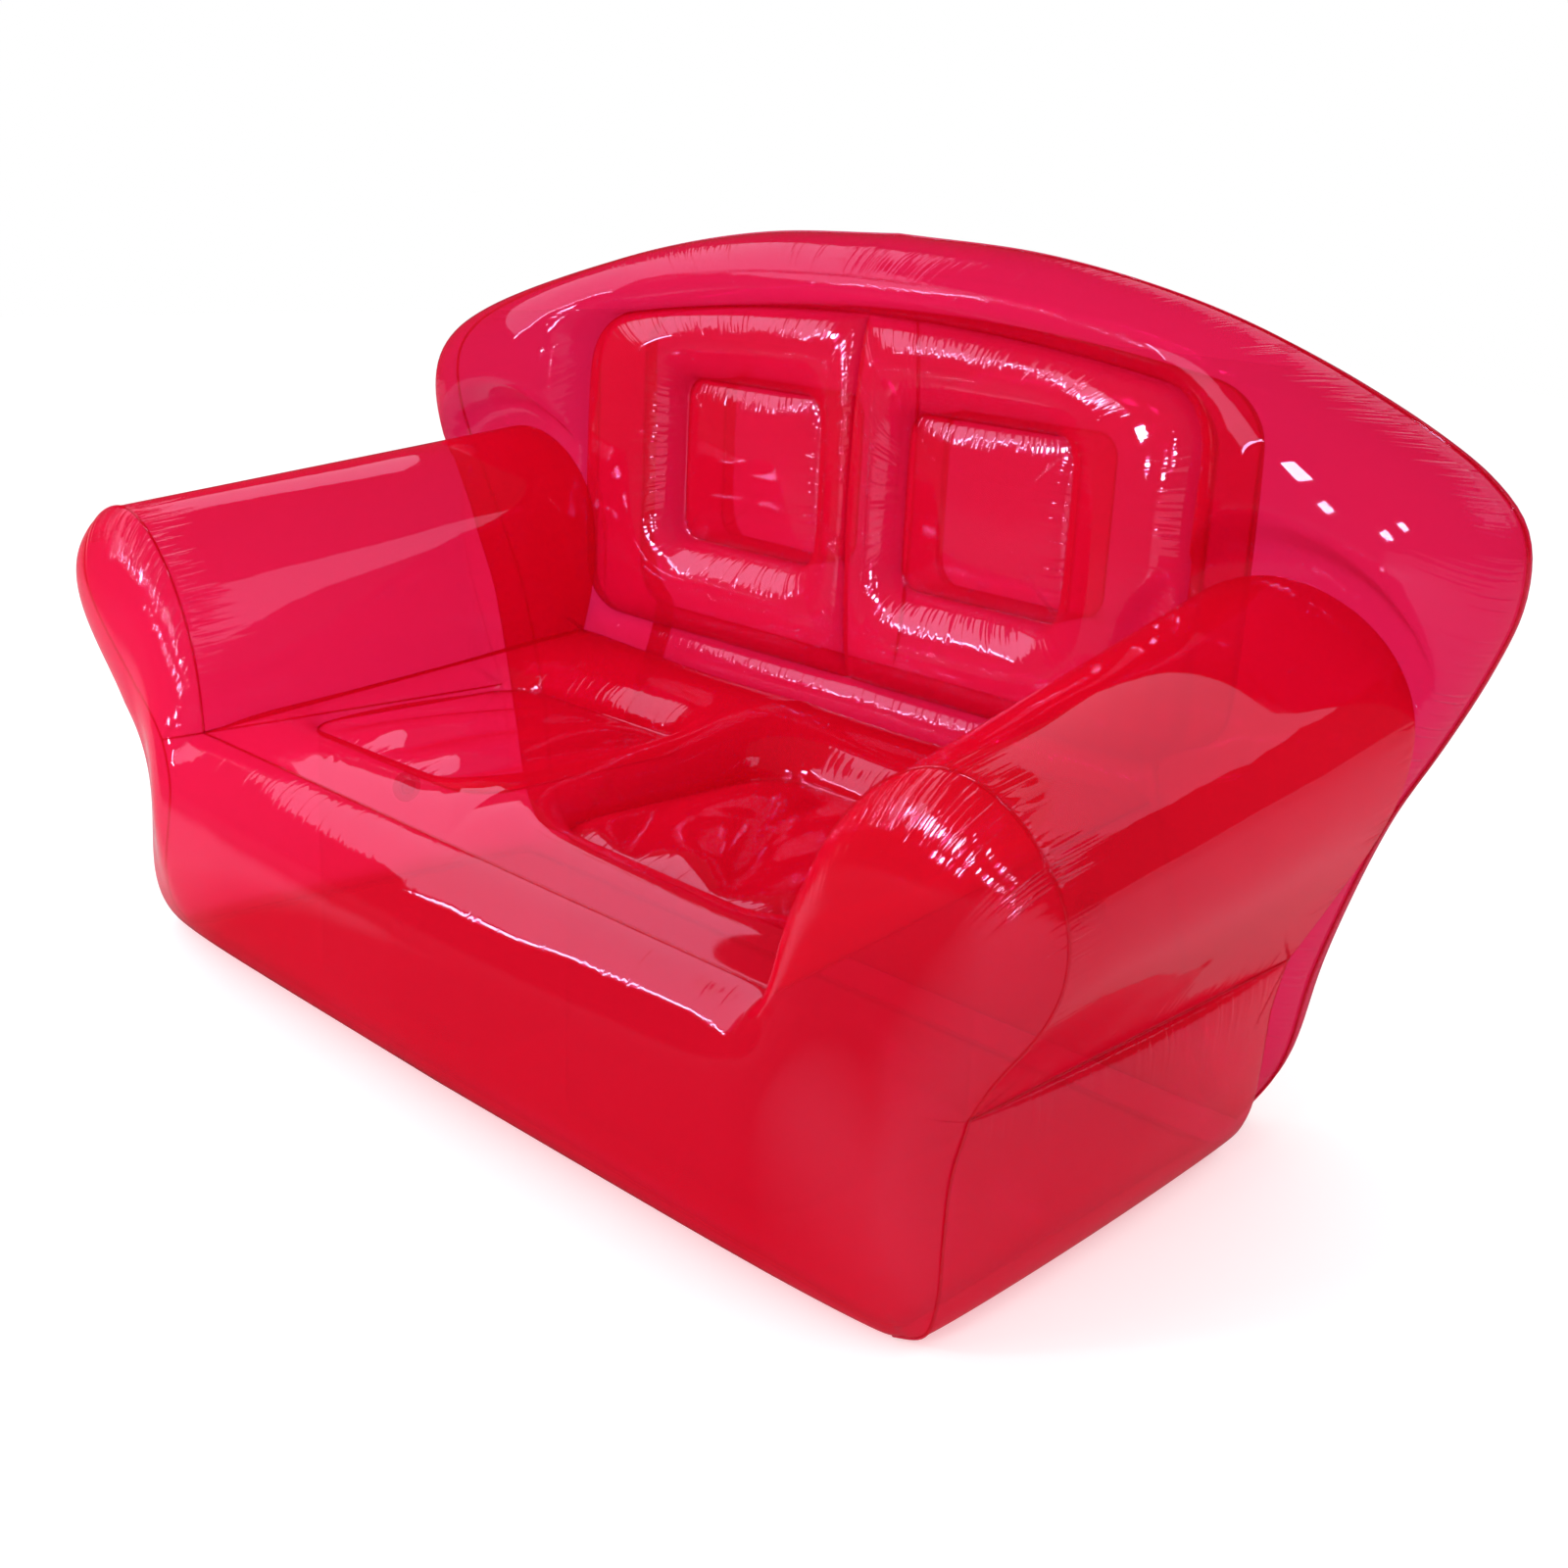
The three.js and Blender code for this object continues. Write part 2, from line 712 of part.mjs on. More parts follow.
// The back's perimeter seam, walked at the same steps as the loop's rim
function backEdge([i, j]) {
  if (j === 0) return [crowded(i / acrossHalf) * backFootHalfWidth, 0, backSeamY];
  const along =
    i === acrossHalf && j < sideSteps
      ? lobeShare * (j / sideSteps)
      : lerp(1, lobeShare, crowded(i / acrossHalf));
  const spot = backLine.getPointAt(along);
  const forward = lobeForward * Math.exp(-(((along - lobeShare) / lobeSpreadShare) ** 2));
  return [spot.x, spot.z, backSeamY - forward];
}
// The outline of the base seen from behind, which the back leans on
const baseOutline = [...armRear, ...footRear].map((p) => [p.x, p.z]);
function distanceOutside(x, z) {
  const [ax, y] = [Math.abs(x), z];
  const line = [[0, seatRearHeight], ...baseOutline, [0, 0]];
  let [inside, nearest] = [false, Infinity];
  line.forEach(([x1, z1], k) => {
    const [x2, z2] = line[(k + 1) % line.length];
    if (z1 > y !== z2 > y && ax < x1 + ((y - z1) / (z2 - z1)) * (x2 - x1)) inside = !inside;
    const span = new THREE.Line3(point(x1, 0, z1), point(x2, 0, z2));
    const foot = span.closestPointToPoint(point(ax, 0, y), true, point(0, 0, 0));
    if (x1 + x2 > 0) nearest = Math.min(nearest, foot.distanceTo(point(ax, 0, y)));
  });
  return inside ? 0 : nearest;
}

// One face of the back: facing -1 is the front film, +1 the rear film
function backPanel(facing) {
  const film = new Film();
  const loopY = backSeamY + facing * loopHalfDepth;
  const windowY = backSeamY + facing * windowHalfDepth;
  const lobeFull = facing < 0 ? lobeFrontFullShare : lobeRearFullShare;
  const walk = walkRound(acrossHalf, sideSteps);
  const rim = [[0, 0], ...walk.filter(([i]) => i > 0), [0, sideSteps]];
  for (const side of [1, -1]) {
    // Between the perimeter seam and the loop
    film.grid(rim.length - 1, rimSteps, (k, n) => {
      const [i, j] = rim[k];
      const [x0, z0, y0] = backEdge([i, j]);
      const [x1, z1] = loopRim(unitOf([i, j], sideSteps));
      const s = crowded(n / rimSteps);
      const towardsLobe = THREE.MathUtils.smoothstep(crowded(i / acrossHalf), 0, 1);
      const crown = lerp(crownFullShare, lobeFull, towardsLobe);
      const lift = j === sideSteps ? crown : lobeFull;
      return {
        p: point(side * lerp(x0, x1, s), lerp(y0, loopY, s), lerp(z0, z1, s)),
        welded: n === 0 || n === rimSteps,
        full: j === 0 ? skirtFullShare : lift,
      };
    });
    // Between the loop and a window
    film.grid(walk.length, ringSteps, (k, n) => {
      const spot = unitOf(walk[k % walk.length], sideSteps);
      const [x0, z0] = loopRim(spot);
      const [x1, z1] = windowSpot(rounded(...spot, ...windowRoundShares));
      const s = crowded(n / ringSteps);
      const rise = spot[0] === 0 ? middleRise * Math.sin(Math.PI * spot[1]) : 0;
      const y = lerp(loopY + facing * rise, windowY, s);
      return {
        p: point(side * lerp(x0, x1, s), y, lerp(z0, z1, s)),
        welded: n === 0 || n === ringSteps,
        full: backRingFullShare,
      };
    });
    film.grid(acrossHalf, sideSteps, (i, j) => {
      const [x, z] = windowSpot(padPoint(...unitOf([i, j], sideSteps), ...windowRoundShares));
      return {
        p: point(side * x, windowY, z),
        welded: [0, acrossHalf].includes(i) || [0, sideSteps].includes(j),
        full: backPadFullShare,
      };
    });
  }
  film.inflate("y", facing, backPlateau, 0).facing(point(0, facing, 0));
  // The front film lies flat against the base, with every face that reaches the base's outline, and
  // swells forward only past those
  if (facing < 0) {
    const contact = rearY + seamGap + filmThickness;
    const away = film.points.map((p) => distanceOutside(p.x, p.z));
    const leaning = new Set();
    film.faces.forEach((face) => {
      if (face.some((i) => away[i] < contactMargin)) face.forEach((i) => leaning.add(i));
    });
    film.points.forEach((p, i) => {
      const free = leaning.has(i) ? 0 : away[i];
      p.y = Math.max(p.y, contact - swellSlopeShare * free);
    });
  }
  return film;
}

// A band of film that stands between two panels along a closed weld line
function band(line, axis, low, high) {
  const film = new Film();
  return film.grid(line.length, 1, (i, j) => ({
    p: line[i % line.length].clone()["set" + axis](j ? high : low),
  }));
}
// The weld lines of the seat's squares, the back's windows and its loop
const seatBandLine = (side) =>
  walkRound(acrossHalf, depthSteps).map((step) =>
    mirrored(seatSpot(rounded(...unitOf(step, depthSteps), ...seatRoundShares)), side),
  );
const upright = ([x, z], side) => point(side * x, backSeamY, z);
const windowBandLine = (side) =>
  walkRound(acrossHalf, sideSteps).map((step) =>
    upright(windowSpot(rounded(...unitOf(step, sideSteps), ...windowRoundShares)), side),
  );
function loopBandLine() {
  const place = (side) => (step) => upright(loopRim(unitOf(step, sideSteps)), side);
  const steps = walkRound(acrossHalf, sideSteps).filter(([i]) => i > 0);
  const [bottom, top] = [[0, 0], [0, sideSteps]].map(place(1));
  return [bottom, ...steps.map(place(1)), top, ...steps.map(place(-1)).reverse()];
}
const backBand = (line, halfDepth) => {
  const reach = halfDepth - filmThickness - bandGap;
  return band(line, "Y", backSeamY - reach, backSeamY + reach);
};
const seatBand = (side) =>
  band(
    seatBandLine(side),
    "Z",
    filmThickness + bandGap,
    seatWindowHeight - filmThickness - bandGap,
  );
// A web across the arm's root, from the seat crease to the valley
function armWeb(side) {
  const film = new Film();
  const inset = 2 * filmThickness + bandGap;
  film.grid(1, depthSteps, (i, j) => {
    const [crease, valley] = [armPoint(0, j), armPoint(armSteps, j)];
    const along = valley.clone().sub(crease).normalize();
    const p = i ? valley.addScaledVector(along, -inset) : crease.addScaledVector(along, inset);
    p.y = THREE.MathUtils.clamp(p.y, frontY + inset, rearY - inset);
    return { p: mirrored(p, side) };
  });
  return side > 0 ? film : film.flipped();
}

// A round bar along X, for the air holes through a band
function airHole(radius, length, centre) {
  const bar = new THREE.CylinderGeometry(radius, radius, length, roundSteps);
  return bar.rotateZ(quarterTurn).translate(...centre.toArray());
}

// The pieces of a valve, about its own axis: +Z leaves the sofa and zero is the film's surface
const insertRadius = neckBore - runningGap;
const insertBore = insertRadius - insertWall;
const insertFoot = -neckSunk + spokeThickness;
const lipHeight = neckProud + runningGap;
const capHeight = lipHeight + insertLipThickness + runningGap;
const plugRadius = insertBore - runningGap;
const flapRadius = insertRadius - flapHingeTab * half;
const turned = (profile) =>
  new THREE.LatheGeometry(
    profile.map(([r, z]) => new THREE.Vector2(r, z)),
    roundSteps,
  ).rotateX(quarterTurn);
const valveSeat = () =>
  turned([
    [neckBore, -neckSunk],
    [neckRadius, -neckSunk],
    [neckRadius, -flangeDrop - flangeThickness],
    [flangeRadius, -flangeDrop - flangeThickness],
    [flangeRadius, -flangeDrop],
    [neckRadius, -flangeDrop],
    [neckRadius, neckProud],
    [neckBore, neckProud],
    [neckBore, -neckSunk],
  ]);
function valveInsert() {
  const tube = turned([
    [insertBore, insertFoot],
    [insertRadius, insertFoot],
    [insertRadius, lipHeight],
    [insertRadius + insertLip, lipHeight],
    [insertRadius + insertLip, lipHeight + insertLipThickness],
    [insertBore, lipHeight + insertLipThickness],
    [insertBore, insertFoot],
  ]);
  const reach = 2 * insertBore + insertWall;
  const spoke = (along, across) =>
    new THREE.BoxGeometry(along, across, spokeThickness).translate(
      0,
      0,
      insertFoot + spokeThickness * half,
    );
  return join(tube, spoke(reach, spokeWidth), spoke(spokeWidth, reach));
}
const flapTop = insertFoot - runningGap;
const valveFlap = () =>
  turned([
    [0, flapTop - flapThickness],
    [flapRadius, flapTop - flapThickness],
    [flapRadius, flapTop],
    [0, flapTop],
  ]);
function valveStopper() {
  const cap = turned([
    [0, capHeight],
    [plugRadius - stopperWall, capHeight],
    [plugRadius - stopperWall, capHeight - stopperDepth],
    [plugRadius, capHeight - stopperDepth],
    [plugRadius, capHeight],
    [neckRadius, capHeight],
    [neckRadius, capHeight + stopperCapThickness],
    [0, capHeight + stopperCapThickness],
  ]);
  const tabHeight = pullTabHeight + stopperCapThickness;
  const tab = new THREE.BoxGeometry(pullTabWidth, pullTabThickness, tabHeight);
  tab.translate(0, 0, capHeight + tabHeight * half);
  return join(cap, tab);
}
// Where a valve stands: the film's corner nearest to a wanted place, looking along the normal
function valveStand(film, wanted) {
  const nearest = film.points.reduce((best, p) =>
    p.distanceTo(wanted) < best.distanceTo(wanted) ? p : best,
  );
  const normal = point(0, 0, 0);
  film.faces
    .filter((face) => face.some((i) => film.points[i] === nearest))
    .forEach((face) => normal.add(film.normalOf(face)));
  const stand = new THREE.Group();
  stand.position.copy(nearest);
  stand.quaternion.setFromUnitVectors(point(0, 0, 1), normal.normalize());
  stand.updateMatrixWorld(true);
  return stand;
}
function neckHole(stand) {
  const radius = neckRadius + runningGap;
  const bar = new THREE.CylinderGeometry(radius, radius, 2 * flangeRadius, roundSteps);
  return bar.rotateX(quarterTurn).applyMatrix4(stand.matrixWorld);
}

// The films, thickened together so that their seams meet
const films = {
  front_panel: frontPanel(),
  seat_panel: seatPanel(),
  right_arm_panel: armPanel(1),
  left_arm_panel: armPanel(-1),
  right_side_panel: sidePanel(1),
  left_side_panel: sidePanel(-1),
  bottom_panel: bottomPanel(),
  base_rear_panel: baseRearPanel(),
  back_front_panel: backPanel(-1),
  back_rear_panel: backPanel(1),
  back_loop_band: backBand(loopBandLine(), loopHalfDepth),
  right_window_band: backBand(windowBandLine(1), windowHalfDepth),
  left_window_band: backBand(windowBandLine(-1), windowHalfDepth),
  right_seat_band: seatBand(1),
  left_seat_band: seatBand(-1),
  right_arm_web: armWeb(1),
  left_arm_web: armWeb(-1),
};
const names = Object.keys(films);
const skins = Object.fromEntries(
  thicken(Object.values(films)).map((geometry, i) => [names[i], geometry]),
);

// The valves: the base's on the left side panel, the back's low on its rear film
const stands = {
  base_valve: valveStand(
    films.left_side_panel,
    point(
      -armReach,
      lerp(frontY, rearY, baseValveDepthShare),
      baseValveRiseShare * footFront[0].z,
    ),
  ),
  back_valve: valveStand(
    films.back_rear_panel,
    point(
      backValveXShare * backFootHalfWidth,
      backSeamY + backHalfDepth,
      backValveHeightShare * backHeight,
    ),
  ),
};
skins.left_side_panel = cut(skins.left_side_panel, neckHole(stands.base_valve));
skins.back_rear_panel = cut(skins.back_rear_panel, neckHole(stands.back_valve));

// Air holes through the bands
const windowMiddle = lerp(windowBottomHeight, windowTopHeight, half);
const seatMiddle = point(0, lerp(...seatWindow.y, half), seatWindowHeight * half);
const backMiddle = point(0, backSeamY, windowMiddle);
const across = 2 * armReach;
for (const side of ["left", "right"]) {
  const seat = side + "_seat_band";
  skins[seat] = cut(skins[seat], airHole(seatVentRadius, across, seatMiddle));
  const window = side + "_window_band";
  skins[window] = cut(skins[window], airHole(backVentRadius, across, backMiddle));
}
skins.back_loop_band = cut(skins.back_loop_band, airHole(backVentRadius, across, backMiddle));

const sofa = new THREE.Group();
const named = (name, geometry, material) => {
  const mesh = new THREE.Mesh(geometry, material);
  mesh.name = name;
  return mesh;
};
names.forEach((name) => {
  const material = name.startsWith("back") || name.includes("window") ? clearPink : clearRed;
  sofa.add(named(name, skins[name], material));
});
Object.entries(stands).forEach(([name, stand]) => {
  stand.add(
    named(name + "_seat", valveSeat(), valvePlastic),
    named(name + "_insert", valveInsert(), valvePlastic),
    named(name + "_flap", valveFlap(), valveRubber),
    named(name + "_stopper", valveStopper(), valvePlastic),
  );
  sofa.add(stand);
});

// The sofa's own frame: zero on the floor, in the middle of its length and depth
const middle = new THREE.Box3().setFromObject(sofa).getCenter(point(0, 0, 0));
sofa.position.set(0, -middle.y, 0);
export default sofa;
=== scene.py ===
"""A clear hot-pink inflatable two-seat sofa: welded vinyl film blown up over two air chambers.

The films are worked out in millimetres, about the base's own middle, from the same named sizes as the
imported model. They are moved and scaled into the model's frame when each piece gets its mesh.
"""

import json
import math

import bpy
import numpy as np
from mathutils import Matrix, Vector


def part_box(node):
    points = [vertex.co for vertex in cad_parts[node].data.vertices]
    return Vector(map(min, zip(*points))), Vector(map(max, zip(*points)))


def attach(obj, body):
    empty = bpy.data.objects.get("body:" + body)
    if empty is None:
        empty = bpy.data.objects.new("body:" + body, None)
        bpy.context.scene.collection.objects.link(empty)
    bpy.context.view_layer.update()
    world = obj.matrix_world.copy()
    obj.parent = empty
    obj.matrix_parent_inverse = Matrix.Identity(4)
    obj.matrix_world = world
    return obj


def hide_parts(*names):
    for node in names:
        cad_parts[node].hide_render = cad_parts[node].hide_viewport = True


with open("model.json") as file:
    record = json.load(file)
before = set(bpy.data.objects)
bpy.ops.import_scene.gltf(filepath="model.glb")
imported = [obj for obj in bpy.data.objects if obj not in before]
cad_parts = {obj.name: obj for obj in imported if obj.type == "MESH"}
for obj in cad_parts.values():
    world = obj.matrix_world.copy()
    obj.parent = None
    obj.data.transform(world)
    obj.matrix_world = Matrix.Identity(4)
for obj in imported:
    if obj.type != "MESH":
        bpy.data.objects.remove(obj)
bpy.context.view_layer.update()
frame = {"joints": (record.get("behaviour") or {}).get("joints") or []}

# ---- A millimetre in metres, what counts as nothing, and when the membrane's sag is settled
MM, NEAR, SAME_PLACE, SLIVER, MOST_STEPS, STILL = 0.001, 1e-9, 0.02, 1e-6, 3000, 1e-12

# ---- Sizes of the base, in millimetres and as shares of the arms' reach and height
FILM, SEAM_GAP = 0.4, 0.4
ARM_REACH, ARM_FRONT_HEIGHT = 780, 530
ARM_REAR_HEIGHT = ARM_FRONT_HEIGHT + 75
BASE_DEPTH, FOOT_INSET, SIDE_BULGE, SEAM_SET_BACK = 558, 36, 24, 34
FLOOR_FRONT_SHARE, FLOOR_REAR_SHARE, SEAT_CORNER_SHARE, CREASE_REAR_SHARE = 0.777, 0.744, 0.618, 0.596
SEAT_FRONT_SHARE = 0.543
FLOOR_HALF, FLOOR_REAR_HALF = ARM_REACH * FLOOR_FRONT_SHARE, ARM_REACH * FLOOR_REAR_SHARE
SEAT_CORNER_X, CREASE_REAR_X = ARM_REACH * SEAT_CORNER_SHARE, ARM_REACH * CREASE_REAR_SHARE
SEAT_FRONT_HEIGHT = ARM_FRONT_HEIGHT * SEAT_FRONT_SHARE
SEAT_REAR_HEIGHT, CREASE_REAR_HEIGHT = SEAT_FRONT_HEIGHT + 28, SEAT_FRONT_HEIGHT + 57
ARM_FRONT = [
    (SEAT_CORNER_SHARE, SEAT_FRONT_SHARE), (0.63, 0.66), (0.66, 0.775),
    (0.708, 0.887), (0.771, 0.968), (0.831, 1), (0.9, 0.98), (0.956, 0.922), (0.992, 0.838),
    (0.99, 0.745), (0.96, 0.651), (0.92, 0.57), (0.884, 0.5), (0.856, 0.43),
]
ARM_REAR = [
    (CREASE_REAR_SHARE, CREASE_REAR_HEIGHT / ARM_REAR_HEIGHT), (0.574, 0.673), (0.57, 0.774),
    (0.588, 0.884), (0.655, 0.966), (0.737, 1), (0.806, 0.992), (0.869, 0.96), (0.923, 0.901),
    (0.952, 0.822), (0.951, 0.724), (0.926, 0.623), (0.884, 0.513), (0.83, 0.378),
]
FOOT_FRONT = [
    (0.856, 0.43), (0.838, 0.32), (0.84, 0.208), (0.843, 0.11), (0.828, 0.035),
    (FLOOR_FRONT_SHARE, 0),
]
FOOT_REAR = [
    (0.83, 0.378 * ARM_REAR_HEIGHT / ARM_FRONT_HEIGHT), (0.814, 0.33), (0.81, 0.2), (0.803, 0.1),
    (0.78, 0.028), (FLOOR_REAR_SHARE, 0),
]
SEAT_SQUARE_X, SEAT_SQUARE_INSETS = (64, SEAT_CORNER_X - 74), (84, 150)
SEAT_SQUARE_HEIGHT, SEAT_SQUARE_ROUND, PUFF_HEIGHT = SEAT_FRONT_HEIGHT + 12, 55, 11

# ---- Sizes of the back
BACK_HEIGHT, BACK_HALF_DEPTH = 890, 70
BACK_HALF_WIDTH, BACK_FOOT_HALF = ARM_REACH + 28, FLOOR_REAR_HALF - 9
LOBE_FORWARD, LOBE_SHARE, LOBE_SPREAD = 38, 0.5, 0.15
LOOP_HALF_WIDTH, LOOP_BOTTOM, LOOP_TOP = BACK_HALF_WIDTH * 0.5915, BACK_HEIGHT * 0.4213, BACK_HEIGHT * 0.9022
LOOP_DROP, LOOP_ROUND, LOOP_HALF_DEPTH, WINDOW_HALF_DEPTH = 44, 60, 40, 31
WINDOW_X = (LOOP_HALF_WIDTH * 0.139, LOOP_HALF_WIDTH * 0.6463)
WINDOW_Z, WINDOW_ROUND = (BACK_HEIGHT * 0.5573, BACK_HEIGHT * 0.7854), 26
MIDDLE_RISE, CONTACT_MARGIN, SWELL_SLOPE = 14, 26, 1.6
BACK_LINE = [
    (BACK_FOOT_HALF / BACK_HALF_WIDTH, 0), (0.763, 0.09), (0.79, 0.22), (0.857, 0.41), (0.913, 0.51),
    (0.966, 0.61), (0.997, 0.69), (0.992, 0.764), (0.947, 0.808), (0.872, 0.846), (0.7, 0.905),
    (0.51, 0.953), (0.267, 0.989), (0, 1),
]

# ---- How full each film stands, as a share of a freely rounded tube
FRONT_FULL, ARM_FACE_FULL = 1.02, 0.88
SEAT_RING_FULL, SEAT_SIDE_FULL, SEAT_PAD_FULL, SEAT_FRONT_EASE = 0.8, 0.52, 0.16, 26
BACK_RING_FULL, BACK_PAD_FULL = 1.0, 0.36
LOBE_FRONT_FULL, LOBE_REAR_FULL, CROWN_FULL, SKIRT_FULL = 1.36, 0.95, 1.95, 0.42
FRONT_PLATEAU, SEAT_PLATEAU, BACK_PLATEAU, FRONT_SEAM_EASE = 200, 200, 89, 14

# ---- Where the seat's film is slack, and where the back's film is made deeper as a painted shade on its skirt behind the seat: from a place, over a length
SLACK_FROM_Y, SLACK_FROM_X, ARM_SLACK_REACH = (60, 160), (250, 150), (0.12, 0.3)
TAUT, SEAT_TAUT, QUILT_SLACK, SEAT_SLACK, ARM_SLACK = 0.02, 0.05, 0.12, 0.9, 0.5
SKIRT_SHADE_UNDER, SKIRT_SHADE_WITHIN = (LOOP_BOTTOM + 40, -80), (LOOP_HALF_WIDTH + 90, -120)

# ---- Places that follow from the sizes
FRONT_Y, REAR_Y = -BASE_DEPTH / 2, BASE_DEPTH / 2
BACK_SEAM_Y = REAR_Y + SEAM_GAP + FILM + BACK_HALF_DEPTH
ORIGIN_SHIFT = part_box("base_rear_panel")[1].y / MM - REAR_Y
BODY = "sofa_body"

# ---- The gathers of each seam and weld: how far apart they lie, and how hard it draws the film in
ARM_GATHER, ARM_PULLS, BACK_RIM_GATHER, BACK_RIM_PULLS = 14, (0.25, 0.95), 12, (0.35, 1.0)
APRON_TOP, APRON_FLOOR, KNEE, ROLL_REAR, ROLL_VALLEY = (22, 0.12), (22, 0.1), (18, 0.3), (18, 0.5), (20, 0.4)
SIDE_FRONT, SIDE_REAR, SIDE_VALLEY, SIDE_FLOOR = (18, 0.4), (18, 0.3), (20, 0.6), (26, 0.2)
SEAT_RIM, SQUARE_RING, SQUARE_PAD, WINDOW_WELD = (17, 0.4), (19, 0.22), ((19, 0.3), (19, 0.4)), (13, 0.5)
LOOP_OUTSIDE, LOOP_INSIDE = (16, 0.4), (16, 0.5)
ARM_RUN, FOOT_RUN, FOOT_WIDTH, SQUARE_RUNS, WINDOW_RUNS = 1010, 240, 230, (344, 330), (241, 203)

# ---- Grid cells of each patch, across and along, and points from one line in to another
FIELD_CELLS, FOOT_CELLS, FACE_CELLS = (96, 48), (120, 48), (120, 44)
ROLL_CELLS, SIDE_CELLS, BOTTOM_CELLS, WEB_CELLS = (150, 96), (56, 96), (40, 20), (24, 60)
SEAT_CELLS, BACK_CELLS, BAND_CELLS = (80, 64), (76, 64), (66, 60)
SEAT_RING, LOBE_RING, WINDOW_RING, BAND_STEPS = 33, 37, 29, 13


# ---- Small helpers
def mix(a, b, t):
    """The place a share t of the way from a to b."""
    return a + (b - a) * t


def crowded(s):
    """Even steps from 0 to 1, drawn towards both ends by a half turn of a cosine."""
    return (1 - np.cos(np.pi * s)) / 2


def at_ends(t):
    """Where a share is 0 or 1."""
    return (t < NEAR) | (t > 1 - NEAR)


def arc_of(line):
    """How far along a line each of its points lies."""
    return np.append(0, np.cumsum(np.linalg.norm(np.diff(line, axis=0), axis=1)))


def net(rows, closed):
    """Quads between rows of point numbers, right round each row, and back to the first row if closed."""
    ahead = np.roll(rows, -1, axis=0) if closed else rows[1:]
    here = rows if closed else rows[:-1]
    return np.stack([here, np.roll(here, -1, axis=1), np.roll(ahead, -1, axis=1), ahead], -1).reshape(-1, 4)


def steps(across, along):
    """Two arrays of shares, one for each direction of a grid."""
    return np.meshgrid(np.linspace(0, 1, across + 1), np.linspace(0, 1, along + 1), indexing="ij")


LINE_EASE, FOOT_EASE, CUBIC_STEPS, LINE_STEPS = 14.0, 8.0, 60, 1000


def smooth_line(shares, width, height, ease=LINE_EASE):
    """A line by arc length: centripetal cubics through the shares, softened by a bell of width ease."""
    knots = np.array(shares, float) * (width, height)
    ends = np.vstack([2 * knots[0] - knots[1], knots, 2 * knots[-1] - knots[-2]])
    p0, p1, p2, p3 = (ends[k : len(ends) - 3 + k] for k in range(4))
    d0, d1, d2 = (
        np.sqrt(np.linalg.norm(b - a, axis=1))[:, None] for a, b in ((p0, p1), (p1, p2), (p2, p3))
    )
    m1 = ((p1 - p0) / d0 - (p2 - p0) / (d0 + d1) + (p2 - p1) / d1) * d1
    m2 = ((p2 - p1) / d1 - (p3 - p1) / (d1 + d2) + (p3 - p2) / d2) * d1
    t = np.linspace(0, 1, CUBIC_STEPS + 1)[:-1, None, None]
    line = p1 + m1 * t + (3 * (p2 - p1) - 2 * m1 - m2) * t**2 + (2 * (p1 - p2) + m1 + m2) * t**3
    line = np.vstack([line.transpose(1, 0, 2).reshape(-1, 2), knots[-1]])
    arc = arc_of(line)
    even = np.linspace(0, arc[-1], LINE_STEPS + 1)
    line = np.stack([np.interp(even, arc, line[:, k]) for k in (0, 1)], -1)
    reach = int(3 * ease / even[1])
    bell = np.exp(-0.5 * ((np.arange(-reach, reach + 1) * even[1]) / ease) ** 2)
    bell /= bell.sum()
    before = 2 * line[0] - line[reach:0:-1]
    after = 2 * line[-1] - line[-2 : -reach - 2 : -1]
    wide = np.vstack([before, line, after])
    soft = np.stack([np.convolve(wide[:, k], bell, "valid") for k in (0, 1)], -1)
    arc = arc_of(soft)
    return lambda s: np.stack([np.interp(s, arc / arc[-1], soft[:, k]) for k in (0, 1)], -1)


arm_front = smooth_line(ARM_FRONT, ARM_REACH, ARM_FRONT_HEIGHT)
arm_rear = smooth_line(ARM_REAR, ARM_REACH, ARM_REAR_HEIGHT)
foot_front = smooth_line(FOOT_FRONT, ARM_REACH, ARM_FRONT_HEIGHT, FOOT_EASE)
foot_rear = smooth_line(FOOT_REAR, ARM_REACH, ARM_FRONT_HEIGHT, FOOT_EASE)
back_line = smooth_line(BACK_LINE, BACK_HALF_WIDTH, BACK_HEIGHT)


def ramp(value, start, length):
    """From 0 at the start to 1 a length on, eased at both ends. A negative length runs the other way."""
    t = np.clip((value - start) / length, 0, 1)
    return t * t * (3 - 2 * t)


def seam_y(x, z):
    """The front seam leans back towards the floor. Outside the seat a wave sets it back at the valley."""
    lean = FOOT_INSET * np.maximum(0, 1 - z / SEAT_FRONT_HEIGHT)
    outside = ramp(np.abs(x), SEAT_CORNER_X, FLOOR_HALF - SEAT_CORNER_X)
    wave = np.sin(np.pi * np.clip(z / (0.9 * ARM_FRONT_HEIGHT), 0, 1))
    return FRONT_Y + lean + SEAM_SET_BACK * outside * wave**2


def place(x, y, z):
    """Three arrays of coordinates as one array of points."""
    return np.stack(np.broadcast_arrays(x, y, z), -1).astype(float)


